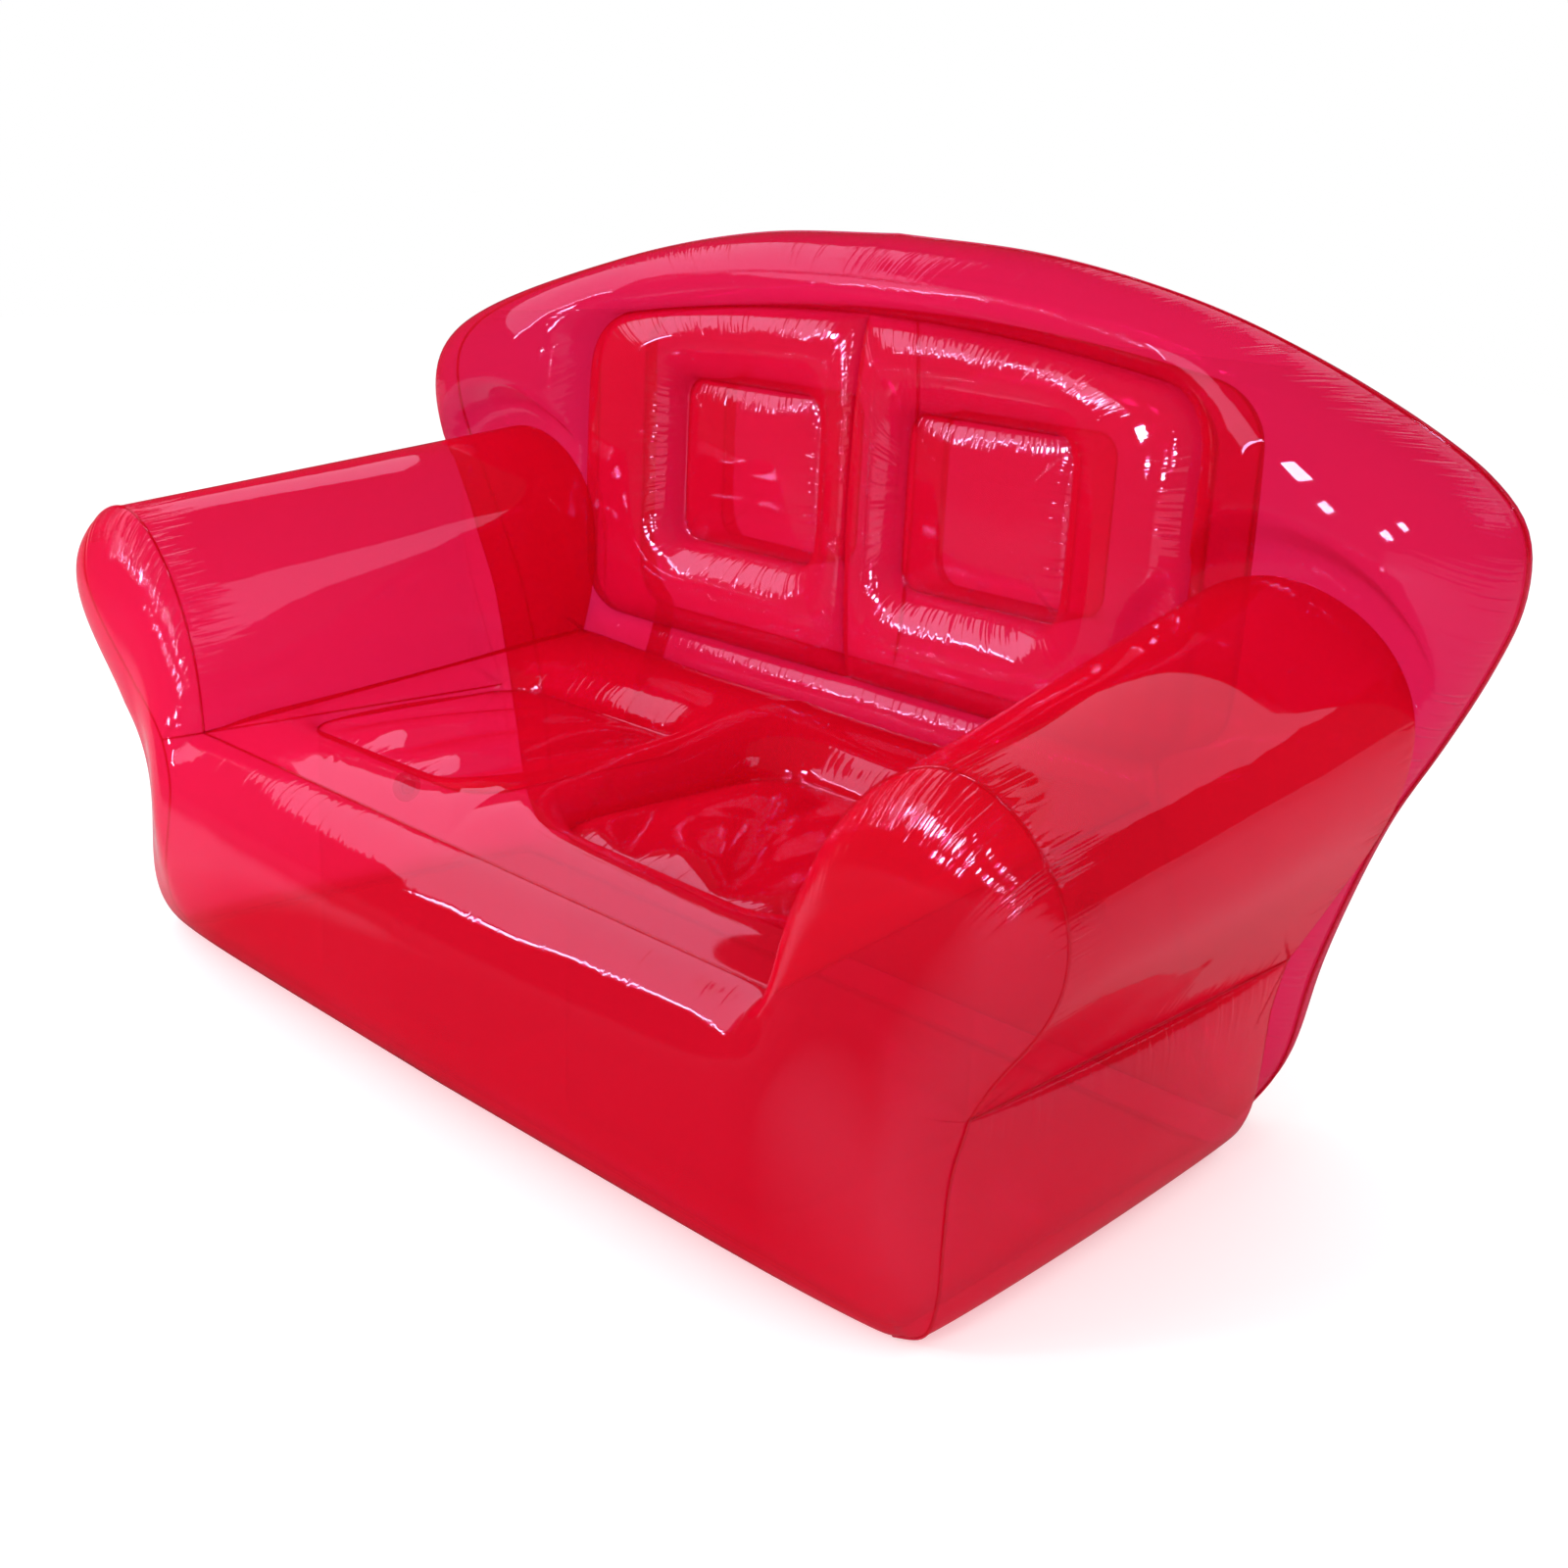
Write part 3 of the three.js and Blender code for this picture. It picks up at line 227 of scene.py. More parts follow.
# ---- Film: patches that merge where they meet and blow up between their welds
class Film:
    """A height field of film. Its height is the root of a loaded membrane's sag, times how full it stands."""

    def __init__(self):
        self.points, self.faces, self.held, self.marks, self.count = [], [], [], [], 0

    def patch(self, points, held, full, fold=0.0, drawn=(0, 999, 0), slack=TAUT, doubled=0.0):
        """A grid of points: what a weld holds, how full it stands, its folds, gathers, slack and deepness."""
        grid = points.shape[:2]
        ids = self.count + np.arange(grid[0] * grid[1]).reshape(grid)
        self.count += ids.size
        corners = [ids[:-1, :-1], ids[1:, :-1], ids[1:, 1:], ids[:-1, 1:]]
        self.faces.append(np.stack(corners, -1).reshape(-1, 4))
        self.points.append(points.reshape(-1, 3))
        self.held.append(np.broadcast_to(held, grid).ravel())
        drawn = np.moveaxis(np.broadcast_to(drawn, (*grid, 3)), -1, 0)
        marks = [np.broadcast_to(value, grid) for value in (full, fold, slack, doubled, *drawn)]
        self.marks.append(np.reshape(marks, (len(marks), -1)))
        return self

    def merge(self):
        """Points in one place become one point, and their marks are averaged."""
        points = np.concatenate(self.points)
        keys = np.round(points / SAME_PLACE).astype(np.int64)
        _, first, where = np.unique(keys, axis=0, return_index=True, return_inverse=True)
        where = where.ravel()
        self.points = points[first]
        self.faces = where[np.concatenate(self.faces)]
        self.held = np.bincount(where, np.concatenate(self.held)) > 0.5
        summed = np.stack([np.bincount(where, values) for values in np.hstack(self.marks)])
        self.full, self.fold, self.slack, self.doubled, *drawn = summed / np.bincount(where)
        self.drawn = np.stack(drawn, -1)
        return self

    def crossed(self):
        """A face's normal: its diagonals crossed."""
        p = self.points[self.faces]
        return np.cross(p[:, 2] - p[:, 0], p[:, 3] - p[:, 1])

    def face_to(self, direction):
        """Every face is turned to look along the given direction."""
        away = self.crossed() @ np.array(direction, float) < 0
        self.faces[away] = self.faces[away][:, ::-1]
        return self

    def blow(self, axis, direction, plateau, ease=0.0):
        """Conjugate gradients for the sag of a film under even load, on the plane across the axis.

        The root of the sag levels off at the plateau, and an ease lets the film leave its seam without a lip.
        """
        flat = np.delete(self.points, axis, 1)
        a, b, c, d = self.faces.T
        tris = np.concatenate([np.stack([a, b, c], -1), np.stack([a, c, d], -1)])
        rows, cols, weights = [], [], []
        load = np.zeros(len(flat))
        for k in range(3):
            i, j, n = tris[:, k], tris[:, (k + 1) % 3], tris[:, (k + 2) % 3]
            u, v = flat[j] - flat[i], flat[n] - flat[i]
            twice = np.abs(u[:, 0] * v[:, 1] - u[:, 1] * v[:, 0])
            good = twice > SLIVER
            weight = 0.5 * (u * v).sum(1)[good] / twice[good]
            rows.append(j[good])
            cols.append(n[good])
            weights.append(weight)
            load += np.bincount(i, twice / 6, len(flat))
        rows, cols, weights = map(np.concatenate, (rows, cols, weights))
        size, free = len(flat), ~self.held
        whole = np.bincount(rows, weights, size) + np.bincount(cols, weights, size)

        def pull(x):
            spread = np.bincount(rows, weights * x[cols], size) + np.bincount(cols, weights * x[rows], size)
            return np.where(free, whole * x - spread, 0)

        sag = np.zeros(size)
        rest = np.where(free, load, 0)
        eased = np.where(free, 1 / np.maximum(whole, NEAR), 0)
        way = eased * rest
        old = rest @ way
        start = old
        for _ in range(MOST_STEPS):
            drawn = pull(way)
            move = old / (way @ drawn)
            sag += move * way
            rest -= move * drawn
            new = rest @ (eased * rest)
            if new < start * STILL:
                break
            way = eased * rest + (new / old) * way
            old = new
        root = plateau * np.sqrt(1 - np.exp(-np.maximum(sag, 0) / plateau**2))
        self.points[:, axis] += direction * self.full * (np.hypot(root, ease) - ease)
        return self

    def normals(self):
        """A point's normal: the sum of those of its faces."""
        normal = self.crossed()
        summed = np.zeros_like(self.points)
        for k in range(3):
            for corner in self.faces.T:
                summed[:, k] += np.bincount(corner, normal[:, k], len(summed))
        return summed / np.maximum(np.linalg.norm(summed, axis=1), 1e-12)[:, None]

    def crease(self):
        """Points move along their normals by the height of their folds."""
        self.points += self.normals() * np.where(self.held, 0, self.fold)[:, None]
        return self

    def open_for(self, valve):
        """A round hole for a valve's neck: the faces near it give way to a collar that runs in to its rim."""
        spot, turn = valve_stand(valve)
        spot = spot - (0, ORIGIN_SHIFT, 0)
        off = (self.points - spot) @ turn
        reach = np.hypot(off[:, 0], off[:, 1])
        near = (reach < VALVE_HOLE + COLLAR) & (np.abs(off[:, 2]) < 3 * VALVE_HOLE)
        gone = near[self.faces].any(1)
        kept = self.faces[~gone]
        edge = np.intersect1d(self.faces[gone], kept)
        edge = edge[np.argsort(np.arctan2(off[edge, 1], off[edge, 0]))]
        ahead = np.roll(edge, -1)
        rim = np.stack([off[edge], (off[edge] + off[ahead]) / 2], 1).reshape(-1, 3)
        share = VALVE_HOLE / np.hypot(rim[:, 0], rim[:, 1])
        rim = rim * np.stack([share, share, share**2], -1)
        at, half = (len(off) + np.arange(len(rim))).reshape(-1, 2).T
        collar = [np.stack([edge, ahead, np.roll(at, -1), half], -1), np.stack([edge, half, at, at], -1)]
        used, where = np.unique(np.vstack([kept, *collar]), return_inverse=True)
        self.faces = where.reshape(-1, 4)
        self.points = np.vstack([self.points, rim @ turn.T + spot])[used]
        for name in ("drawn", "slack", "doubled"):
            values = getattr(self, name)
            setattr(self, name, np.concatenate([values, values[edge.repeat(2)]])[used])
        return self

    def on_side(self, side):
        """The left side's film is a mirror image of the right's, so its faces are turned over."""
        if side < 0:
            self.faces = self.faces[:, ::-1]
        return self


def mesh_of(name, points, faces):
    """A mesh in the model's frame, in metres. A face with two corners in one place becomes a triangle."""
    faces = np.asarray(faces)
    same = faces == np.roll(faces, -1, axis=1)
    four = faces[same.sum(1) == 0]
    pinched = same.sum(1) == 1
    three = faces[pinched][~same[pinched]].reshape(-1, 3)
    mesh = bpy.data.meshes.new(name)
    moved = (points + (0, ORIGIN_SHIFT, 0)) * MM
    mesh.from_pydata(moved.tolist(), [], four.tolist() + three.tolist())
    mesh.validate()
    mesh.polygons.foreach_set("use_smooth", [True] * len(mesh.polygons))
    return mesh


def placed(name, data):
    """A new object of the scene."""
    obj = bpy.data.objects.new(name, data)
    bpy.context.scene.collection.objects.link(obj)
    return obj


def piece(name, points, faces, material, node=None, body=BODY):
    """A finished piece: its mesh, material, the CAD node it stands for and the body it rides on."""
    obj = placed(name, mesh_of(name, points, faces))
    obj.data.materials.append(material)
    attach(obj, body)
    if node:
        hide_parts(node)
    return obj


# ---- Camera at the photograph's viewing angle, in metres and degrees
CAMERA_SPOT, CAMERA_TURN, CAMERA_LIFT, CAMERA_ROLL = (1.54962, -1.36978, 0.95223), 44.463, 17.414, 2.953
LENS, SENSOR, NEAREST, FARTHEST = 44.78, 36, 0.05, 100


def aim_camera():
    """The camera is tilted down, turned about the upright and rolled a little about its own axis."""
    data = bpy.data.cameras.new("camera")
    camera = placed("camera", data)
    data.lens, data.sensor_width, data.clip_start, data.clip_end = LENS, SENSOR, NEAREST, FARTHEST
    matrix = Matrix.Translation(CAMERA_SPOT) @ Matrix.Translation((0, ORIGIN_SHIFT * MM, 0))
    for angle, axis in ((CAMERA_TURN, "Z"), (90 - CAMERA_LIFT, "X"), (CAMERA_ROLL, "Z")):
        matrix = matrix @ Matrix.Rotation(math.radians(angle), 4, axis)
    camera.matrix_world = matrix
    bpy.context.scene.camera = camera


aim_camera()


# ---- Materials
def new_material(name):
    """An empty node material, and a shorthand that adds a node and fills its sockets."""
    material = bpy.data.materials.new(name)
    material.use_nodes = True
    material.node_tree.nodes.clear()
    return material, adder(material.node_tree)


def adder(tree):
    """Adds a node by type. A keyword or a pair fills a socket by name or number, with a value or a link."""

    def add(kind, settings=None, **sockets):
        node = tree.nodes.new(kind)
        for key, value in (settings or {}).items():
            setattr(node, key, value)
        for key, value in sockets.items():
            number = key[1:] if key[0] == "n" else ""
            socket = node.inputs[int(number) if number.isdigit() else key.replace("_", " ")]
            if isinstance(value, bpy.types.NodeSocket):
                tree.links.new(value, socket)
            else:
                socket.default_value = value
        return node

    return add


def maths(add, kind, *values, clamp=False):
    """The result of a Math node of one kind on up to three values."""
    sockets = {f"n{k}": value for k, value in enumerate(values)}
    return add("ShaderNodeMath", {"operation": kind, "use_clamp": clamp}, **sockets).outputs[0]


def spread(add, value, **ends):
    """A Map Range node's result: from n1 and n2 to n3 and n4."""
    return add("ShaderNodeMapRange", n0=value, **ends).outputs[0]


def blend(add, share, one, two):
    """A colour a share of the way from one to another."""
    return add("ShaderNodeMix", {"data_type": "RGBA"}, n0=share, n6=one, n7=two).outputs[2]


def marked(add, word):
    """A mark that the mesh carries at its points."""
    return add("ShaderNodeAttribute", {"attribute_name": word}).outputs


def group_of(name, inputs, outputs):
    """A node group with named sockets, its inner input and output nodes and a shorthand to add to it."""
    tree = bpy.data.node_groups.new(name, "ShaderNodeTree")
    for label, kind, value in inputs:
        socket = tree.interface.new_socket(label, in_out="INPUT", socket_type=kind)
        if value is not None:
            socket.default_value = value
    for label, kind in outputs:
        tree.interface.new_socket(label, in_out="OUTPUT", socket_type=kind)
    return tree, tree.nodes.new("NodeGroupInput"), tree.nodes.new("NodeGroupOutput"), adder(tree)


# ---- The film's surface: noise scales per metre and per gather, heights and reaches in millimetres
SLOW_SCALE, SLOW_HEIGHT, QUICK_SCALE, QUICK_HEIGHT = 4.5, 5.0, 14.0, 0.35
JITTER, REACHES, STRENGTHS, PLEAT_EDGE = (0.83, -0.45, 0.45), (1.37, 4.0, 14.0), (0.31, 0.15, 1.5), 0.7
CRUMPLE_SCALE, CRUMPLE_TWIST, CRUMPLE_WIDTH, CRUMPLE_HEIGHT = 10.0, 0.8, 0.25, 12.0
HAZE_SCALE, HAZE_DETAIL, HAZE_GRAIN = 9.0, 5.0, 0.62
HAZE_ENDS = {"n1": 0.42, "n2": 0.78, "n3": 0.02, "n4": 0.07}


def film_surface():
    """Blown vinyl's face, in millimetres: a slow ripple, fine gathers at a weld, and crumples where slack."""
    white = (1, 1, 1, 1)
    tree, given, made, add = group_of(
        "vinyl film surface",
        [("Vector", "NodeSocketVector", None), ("Drawn", "NodeSocketVector", None),
         ("Slack", "NodeSocketFloat", 0.0), ("Light Tint", "NodeSocketColor", white),
         ("Deep Tint", "NodeSocketColor", white)],
        [("Color", "NodeSocketColor"), ("Roughness", "NodeSocketFloat"), ("Height", "NodeSocketFloat")],
    )

    def noise(scale, detail=1.0, **more):
        """A noise of the film's own places."""
        node = add("ShaderNodeTexNoise", n0=given.outputs["Vector"], Scale=scale, Detail=detail, **more)
        return node.outputs["Fac"]

    def work(kind, *values):
        """The result of a Math node in this group."""
        return maths(add, kind, *values)

    slow = noise(SLOW_SCALE)
    lift = work("MULTIPLY_ADD", noise(QUICK_SCALE), QUICK_HEIGHT, work("MULTIPLY", slow, SLOW_HEIGHT))
    phase, off, strength = add("ShaderNodeSeparateXYZ", n0=given.outputs["Drawn"]).outputs

    def uneven(scale, low, high):
        """An unevenness that changes only along the seam."""
        node = add("ShaderNodeTexNoise", {"noise_dimensions": "1D"}, W=phase, Scale=scale, Detail=1.0)
        return spread(add, node.outputs["Fac"], n1=0.3, n2=0.7, n3=low, n4=high)

    turned = work("MULTIPLY", work("ADD", phase, uneven(*JITTER)), math.pi)
    wave = work("POWER", work("ABSOLUTE", work("SINE", turned)), PLEAT_EDGE)
    share = work("DIVIDE", off, uneven(*REACHES))
    fade = work("MULTIPLY", share, work("EXPONENT", work("SUBTRACT", 1.0, share)))
    pulled = work("MULTIPLY", strength, uneven(*STRENGTHS))
    lift = work("ADD", lift, work("MULTIPLY", work("MULTIPLY", wave, fade), pulled))
    ridge = work("ABSOLUTE", work("SUBTRACT", noise(CRUMPLE_SCALE, Distortion=CRUMPLE_TWIST), 0.5))
    slack = work("MULTIPLY", given.outputs["Slack"], CRUMPLE_HEIGHT)
    lift = work("ADD", lift, work("MULTIPLY", work("SUBTRACT", CRUMPLE_WIDTH, ridge), slack))
    worn = spread(add, noise(HAZE_SCALE, HAZE_DETAIL, Roughness=HAZE_GRAIN), **HAZE_ENDS)
    tint = blend(add, slow, given.outputs["Light Tint"], given.outputs["Deep Tint"])
    for word, value in (("Color", tint), ("Roughness", worn), ("Height", lift)):
        tree.links.new(value, made.inputs[word])
    return tree


film_look = film_surface()
FILM_IOR, GLOSS_TINT, DEEPENED_SHARE, SHADE = 2.6, (0.55, 0.66, 1, 1), 0.16, 0.97


def film_material(name, light, deep, clear, body, edge_share=0.5):
    """Clear coloured film: a tinted see-through share, and a glossy coloured one that grows at its edges."""
    material, add = new_material(name)
    spot = add("ShaderNodeTexCoord").outputs["Object"]
    look = add("ShaderNodeGroup", {"node_tree": film_look}, Vector=spot,
               Drawn=marked(add, "drawn")["Vector"], Slack=marked(add, "slack")["Fac"],
               Light_Tint=(*light, 1), Deep_Tint=(*deep, 1)).outputs
    bump = add("ShaderNodeBump", Strength=1.0, Distance=MM, Height=look["Height"]).outputs[0]
    gloss = add("ShaderNodeBsdfPrincipled", Base_Color=look["Color"], Roughness=look["Roughness"],
                IOR=FILM_IOR, Specular_Tint=GLOSS_TINT, Normal=bump)
    see = add("ShaderNodeBsdfTransparent", Color=(*clear, 1))
    edge = add("ShaderNodeLayerWeight", Blend=0.5, Normal=bump)
    rim = maths(add, "MULTIPLY_ADD", maths(add, "POWER", edge.outputs["Facing"], 4.0), edge_share, body)
    # Where the film is marked, its body share grows: a painted shade on the back's skirt behind the seat, and
    # a deeper film inside the weld loop
    share = maths(add, "MULTIPLY_ADD", marked(add, "doubled")["Fac"], DEEPENED_SHARE, rim, clamp=True)
    both = add("ShaderNodeMixShader", n0=share, n1=see.outputs[0], n2=gloss.outputs[0])
    shade_tint = [SHADE * part * (1 - body) for part in clear]
    shade = add("ShaderNodeBsdfTransparent", Color=(*shade_tint, 1))
    shadow = add("ShaderNodeLightPath").outputs["Is Shadow Ray"]
    cast = add("ShaderNodeMixShader", n0=shadow, n1=both.outputs[0], n2=shade.outputs[0])
    add("ShaderNodeOutputMaterial", Surface=cast.outputs[0])
    return material


# ---- Each film's light and deep tints, what it lets through, and how much of it is body. The base film is a lighter, denser copy of the back's vinyl: painted light on the base
base_film_painted_lighter = film_material("base film painted lighter", (0.9, 0.006, 0.04), (0.84, 0.004, 0.028), (0.97, 0.37, 0.6), 0.21)
back_film = film_material("back film", (0.82, 0.006, 0.04), (0.76, 0.004, 0.028), (0.97, 0.38, 0.62), 0.16)
web_film = film_material(
    "inner web film", (0.8, 0.3, 0.4), (0.75, 0.25, 0.35), (0.99, 0.96, 0.97), 0.01, edge_share=0.04,
)
weld_film = film_material("weld film", (0.7, 0.004, 0.03), (0.6, 0.003, 0.02), (0.93, 0.3, 0.45), 0.2)


CLOUD_SCALE, GRAIN_SCALE, GRAIN_HEIGHT, WEAR = 90.0, 1800.0, 0.4, (0.8, 1.3)


def moulded_material(name, light, deep, rough, ripple, solid):
    """Moulded vinyl or rubber: cloudy colour, soft gloss and a fine mould grain. Solid is its opacity."""
    material, add = new_material(name)
    spot = add("ShaderNodeTexCoord").outputs["Object"]
    cloud = add("ShaderNodeTexNoise", n0=spot, Scale=CLOUD_SCALE, Detail=4.0).outputs["Fac"]
    grain = add("ShaderNodeTexNoise", n0=spot, Scale=GRAIN_SCALE, Detail=2.0).outputs["Fac"]
    tint = blend(add, cloud, (*light, 1), (*deep, 1))
    worn = spread(add, cloud, n3=rough * WEAR[0], n4=rough * WEAR[1])
    bump = add("ShaderNodeBump", Strength=ripple, Distance=GRAIN_HEIGHT * MM, Height=grain)
    skin = add("ShaderNodeBsdfPrincipled", Base_Color=tint, Roughness=worn, IOR=1.5, Alpha=solid,
               Normal=bump.outputs[0])
    add("ShaderNodeOutputMaterial", Surface=skin.outputs[0])
    return material


valve_plastic = moulded_material("valve plastic", (0.86, 0.72, 0.75), (0.78, 0.6, 0.64), 0.28, 0.25, 0.5)
valve_rubber = moulded_material("valve flap rubber", (0.68, 0.62, 0.6), (0.58, 0.52, 0.5), 0.6, 0.5, 1.0)


# ---- Base: the front panel, and the rear panel that has the same make-up but lies flat
def gathers(*seams):
    """Of the nearest seam: the way along it in gathers, the way off it, and how hard it draws the film in."""
    values = (value for along, off, (apart, pull) in seams for value in (along / apart, off, pull))
    flat = np.broadcast_arrays(*values)
    table = np.stack(flat).reshape(len(seams), 3, *flat[0].shape)
    near = table[:, 1].argmin(0)[None, None]
    return np.moveaxis(np.take_along_axis(table, near, 0)[0], 0, -1)


def arm_front_seam(s):
    """The arm's front seam gathers most over the top and round the outside of the roll."""
    least, more = ARM_PULLS
    return ARM_GATHER, least + more * ramp(s, 0.08, 0.1) * ramp(s, 0.72, -0.12)


def end_panel(top, arm, foot, floor_half, y_of, full_of):
    """One end of the base: a middle field, a foot under each arm, and each roll's face fanned to its seam."""
    film = Film()
    corner, valley, knee = arm(0.0), arm(1.0), foot(0.0)

    def lay(x, z, held, *seams):
        """One patch of the panel, gathered at its seams."""
        film.patch(place(x, y_of(x, z), z), held, full_of(x), drawn=gathers(*seams))

    for side in (1, -1):
        s, t = steps(*FIELD_CELLS)
        t = crowded(t)
        x, z = side * s * corner[0], top(s) * (1 - t)
        lay(x, z, at_ends(t), (x, top(s) - z, APRON_TOP), (x, z, APRON_FLOOR))
        s, t = steps(*FOOT_CELLS)
        t = crowded(t)
        chord = corner + s[..., None] * (valley - corner)
        line = foot(t)
        lean = line[..., 0] - mix(knee[0], floor_half, t)
        drop = line[..., 1] - mix(knee[1], 0, t)
        x = side * (mix(chord[..., 0], mix(corner[0], floor_half, s), t) + s * lean)
        z = mix(chord[..., 1], 0, t) + s * drop
        knee_seam = (t * FOOT_RUN, (1 - s) * FOOT_WIDTH, KNEE)
        lay(x, z, np.maximum(s, t) > 1 - NEAR, knee_seam, (x, z, APRON_FLOOR))
        s, t = steps(*FACE_CELLS)
        t = np.sin(np.pi / 2 * t)
        chord = corner + s[..., None] * (valley - corner)
        seam = arm(s)
        spot = mix(chord, seam, t[..., None])
        off = (1 - t) * np.linalg.norm(seam - chord, axis=-1)
        roll_seam = (s * ARM_RUN, off, arm_front_seam(s))
        lay(side * spot[..., 0], spot[..., 1], (t > 1 - NEAR) | at_ends(s), roll_seam)
    return film.merge()


def front_film():
    """The apron under the seat and both arm faces, blown forward from the leaning front seam."""
    film = end_panel(
        lambda s: np.full_like(s, SEAT_FRONT_HEIGHT), arm_front, foot_front, FLOOR_HALF, seam_y,
        lambda x: mix(FRONT_FULL, ARM_FACE_FULL, np.minimum(1, np.abs(x) / FLOOR_HALF)),
    )
    return film.blow(1, -1, FRONT_PLATEAU, FRONT_SEAM_EASE).face_to((0, -1, 0))


def base_rear_film():
    """The flat rear of the base, drawn in between the arms' rear outlines."""
    film = end_panel(
        lambda s: mix(SEAT_REAR_HEIGHT, CREASE_REAR_HEIGHT, s * s), arm_rear, foot_rear, FLOOR_REAR_HALF,
        lambda x, z: np.full_like(z, REAR_Y), lambda x: np.zeros_like(x),
    )
    return film.face_to((0, 1, 0))


def between(front, rear, s, w, swell=0.0):
    """A skin joined by straight lines from a front outline to a rear one, and swollen outwards."""
    f, r = front(s), rear(s)
    y = mix(seam_y(f[..., 0], f[..., 1]), REAR_Y, w)
    return place(mix(f[..., 0], r[..., 0], w) + swell, y, mix(f[..., 1], r[..., 1], w))


def arm_roots(w):
    """The two lines that an arm's panel starts and ends on: the seat's crease and the valley."""
    return [between(arm_front, arm_rear, np.full_like(w, s), w) for s in (0.0, 1.0)]


def arm_film(side):
    """One arm's panel from the seat crease over the roll to the valley, gathered at its seams."""
    s, w = steps(*ROLL_CELLS)
    w = crowded(w)
    depth = w * BASE_DEPTH
    drawn = gathers(
        (s * ARM_RUN, depth, arm_front_seam(s)), (s * ARM_RUN, BASE_DEPTH - depth, ROLL_REAR),
        (depth, np.minimum(s, 1 - s) * ARM_RUN, ROLL_VALLEY),
    )
    along, back = ARM_SLACK_REACH
    slack = TAUT + ARM_SLACK * np.exp(-((s / along) ** 2) - ((1 - w) / back) ** 2)
    points = between(arm_front, arm_rear, s, w) * (side, 1, 1)
    return Film().patch(points, at_ends(w), 0, 0, drawn, slack).merge().on_side(side)


def side_film(side):
    """The lower side from the valley to the floor, with a swell that stands highest near the valley."""
    s, w = steps(*SIDE_CELLS)
    w = crowded(w)
    swell = SIDE_BULGE * np.sin(np.pi * s**0.6) * np.sqrt(np.maximum(np.sin(np.pi * w), 0))
    points = between(foot_front, foot_rear, s, w, swell) * (side, 1, 1)
    depth = w * BASE_DEPTH
    drawn = gathers(
        (s * FOOT_RUN, depth, SIDE_FRONT), (s * FOOT_RUN, BASE_DEPTH - depth, SIDE_REAR),
        (depth, s * FOOT_RUN, SIDE_VALLEY), (depth, (1 - s) * FOOT_RUN, SIDE_FLOOR),
    )
    return Film().patch(points, at_ends(w), 0, 0, drawn).merge().on_side(side)


def bottom_film():
    """The floor panel: a flat trapezium between the front and rear floor corners."""
    s, w = steps(*BOTTOM_CELLS)
    half = mix(FLOOR_HALF, FLOOR_REAR_HALF, w)
    points = place((2 * s - 1) * half, mix(seam_y(0.0, 0.0), REAR_Y, w), 0.0)
    return Film().patch(points, False, 0).merge().face_to((0, 0, -1))


# ---- Seat: a ring of film round each sunken square, and the squares
def rounded(p, q, round_p, round_q):
    """A unit square with corners rounded by two shares: a point past a corner's circle is drawn onto it."""
    cp, cq = np.clip(p, round_p, 1 - round_p), np.clip(q, round_q, 1 - round_q)
    dp, dq = (p - cp) / round_p, (q - cq) / round_q
    far = np.maximum(np.hypot(dp, dq), 1)
    return cp + dp / far * round_p, cq + dq / far * round_q


def pad_grid(p, q, shares):
    """A rounded square filled from its rim: the four sides blended, less what the corners would add twice."""
    def rim(a, b):
        """The place on the rounded square of two shares."""
        return np.array(rounded(np.broadcast_to(a, p.shape), np.broadcast_to(b, p.shape), *shares))

    corners = ((1 - p) * (1 - q) * rim(0.0, 0.0) + p * (1 - q) * rim(1.0, 0.0)
               + (1 - p) * q * rim(0.0, 1.0) + p * q * rim(1.0, 1.0))
    return mix(rim(p, 0.0), rim(p, 1.0), q) + mix(rim(0.0, q), rim(1.0, q), p) - corners


def walk_round(across, along):
    """Shares round a unit square's rim: across the front, up the far side, back, and down the near side."""
    a, b = np.arange(across) / across, np.arange(along) / along
    p = np.concatenate([a, np.ones(along), 1 - a, np.zeros(along), [0]])
    q = np.concatenate([np.zeros(across), b, np.ones(across), 1 - b, [0]])
    return crowded(p), crowded(q)


def half_walk(cells):
    """The walk's part along the foot, up the side and over the top, as the back's right half has it."""
    last = 2 * cells[0] + cells[1] + 1
    return [share[:last] for share in walk_round(*cells)]


def run_of(line):
    """How far along a line each point lies. Measured from its middle, so a closed line's ends agree."""
    run = arc_of(line)
    return np.abs(run - run[-1] / 2)[:, None]


def ring(outer, inner, count, measured=(1, 1, 1)):
    """A grid from an outer line in to an inner one: points, even and crowded shares, and the gap between."""
    t = np.linspace(0, 1, count)
    w = crowded(t)[None]
    gap = np.linalg.norm((outer - inner) * measured, axis=1)[:, None]
    return mix(outer[:, None], inner[:, None], w[..., None]), t[None], w, gap


def pad_shares(cells, runs, upright, level):
    """A pad's shares across and along, which points its weld holds, and the gathers off its four sides."""
    a, b = (crowded(share) for share in steps(*cells))
    rim_a, rim_b = np.minimum(a, 1 - a), np.minimum(b, 1 - b)
    drawn = gathers((b * runs[1], rim_a * runs[0], upright), (a * runs[0], rim_b * runs[1], level))
    return a, b, np.minimum(rim_a, rim_b) < NEAR, drawn


SQUARE_X, SQUARE_Y = SEAT_SQUARE_X, (FRONT_Y + SEAT_SQUARE_INSETS[0], REAR_Y - SEAT_SQUARE_INSETS[1])
SEAT_ROUNDS = [SEAT_SQUARE_ROUND / (far - near) for near, far in (SQUARE_X, SQUARE_Y)]


def seat_spot(p, q):
    """A place in a seat square, by its shares across and along."""
    return place(mix(*SQUARE_X, p), mix(*SQUARE_Y, q), SEAT_SQUARE_HEIGHT)


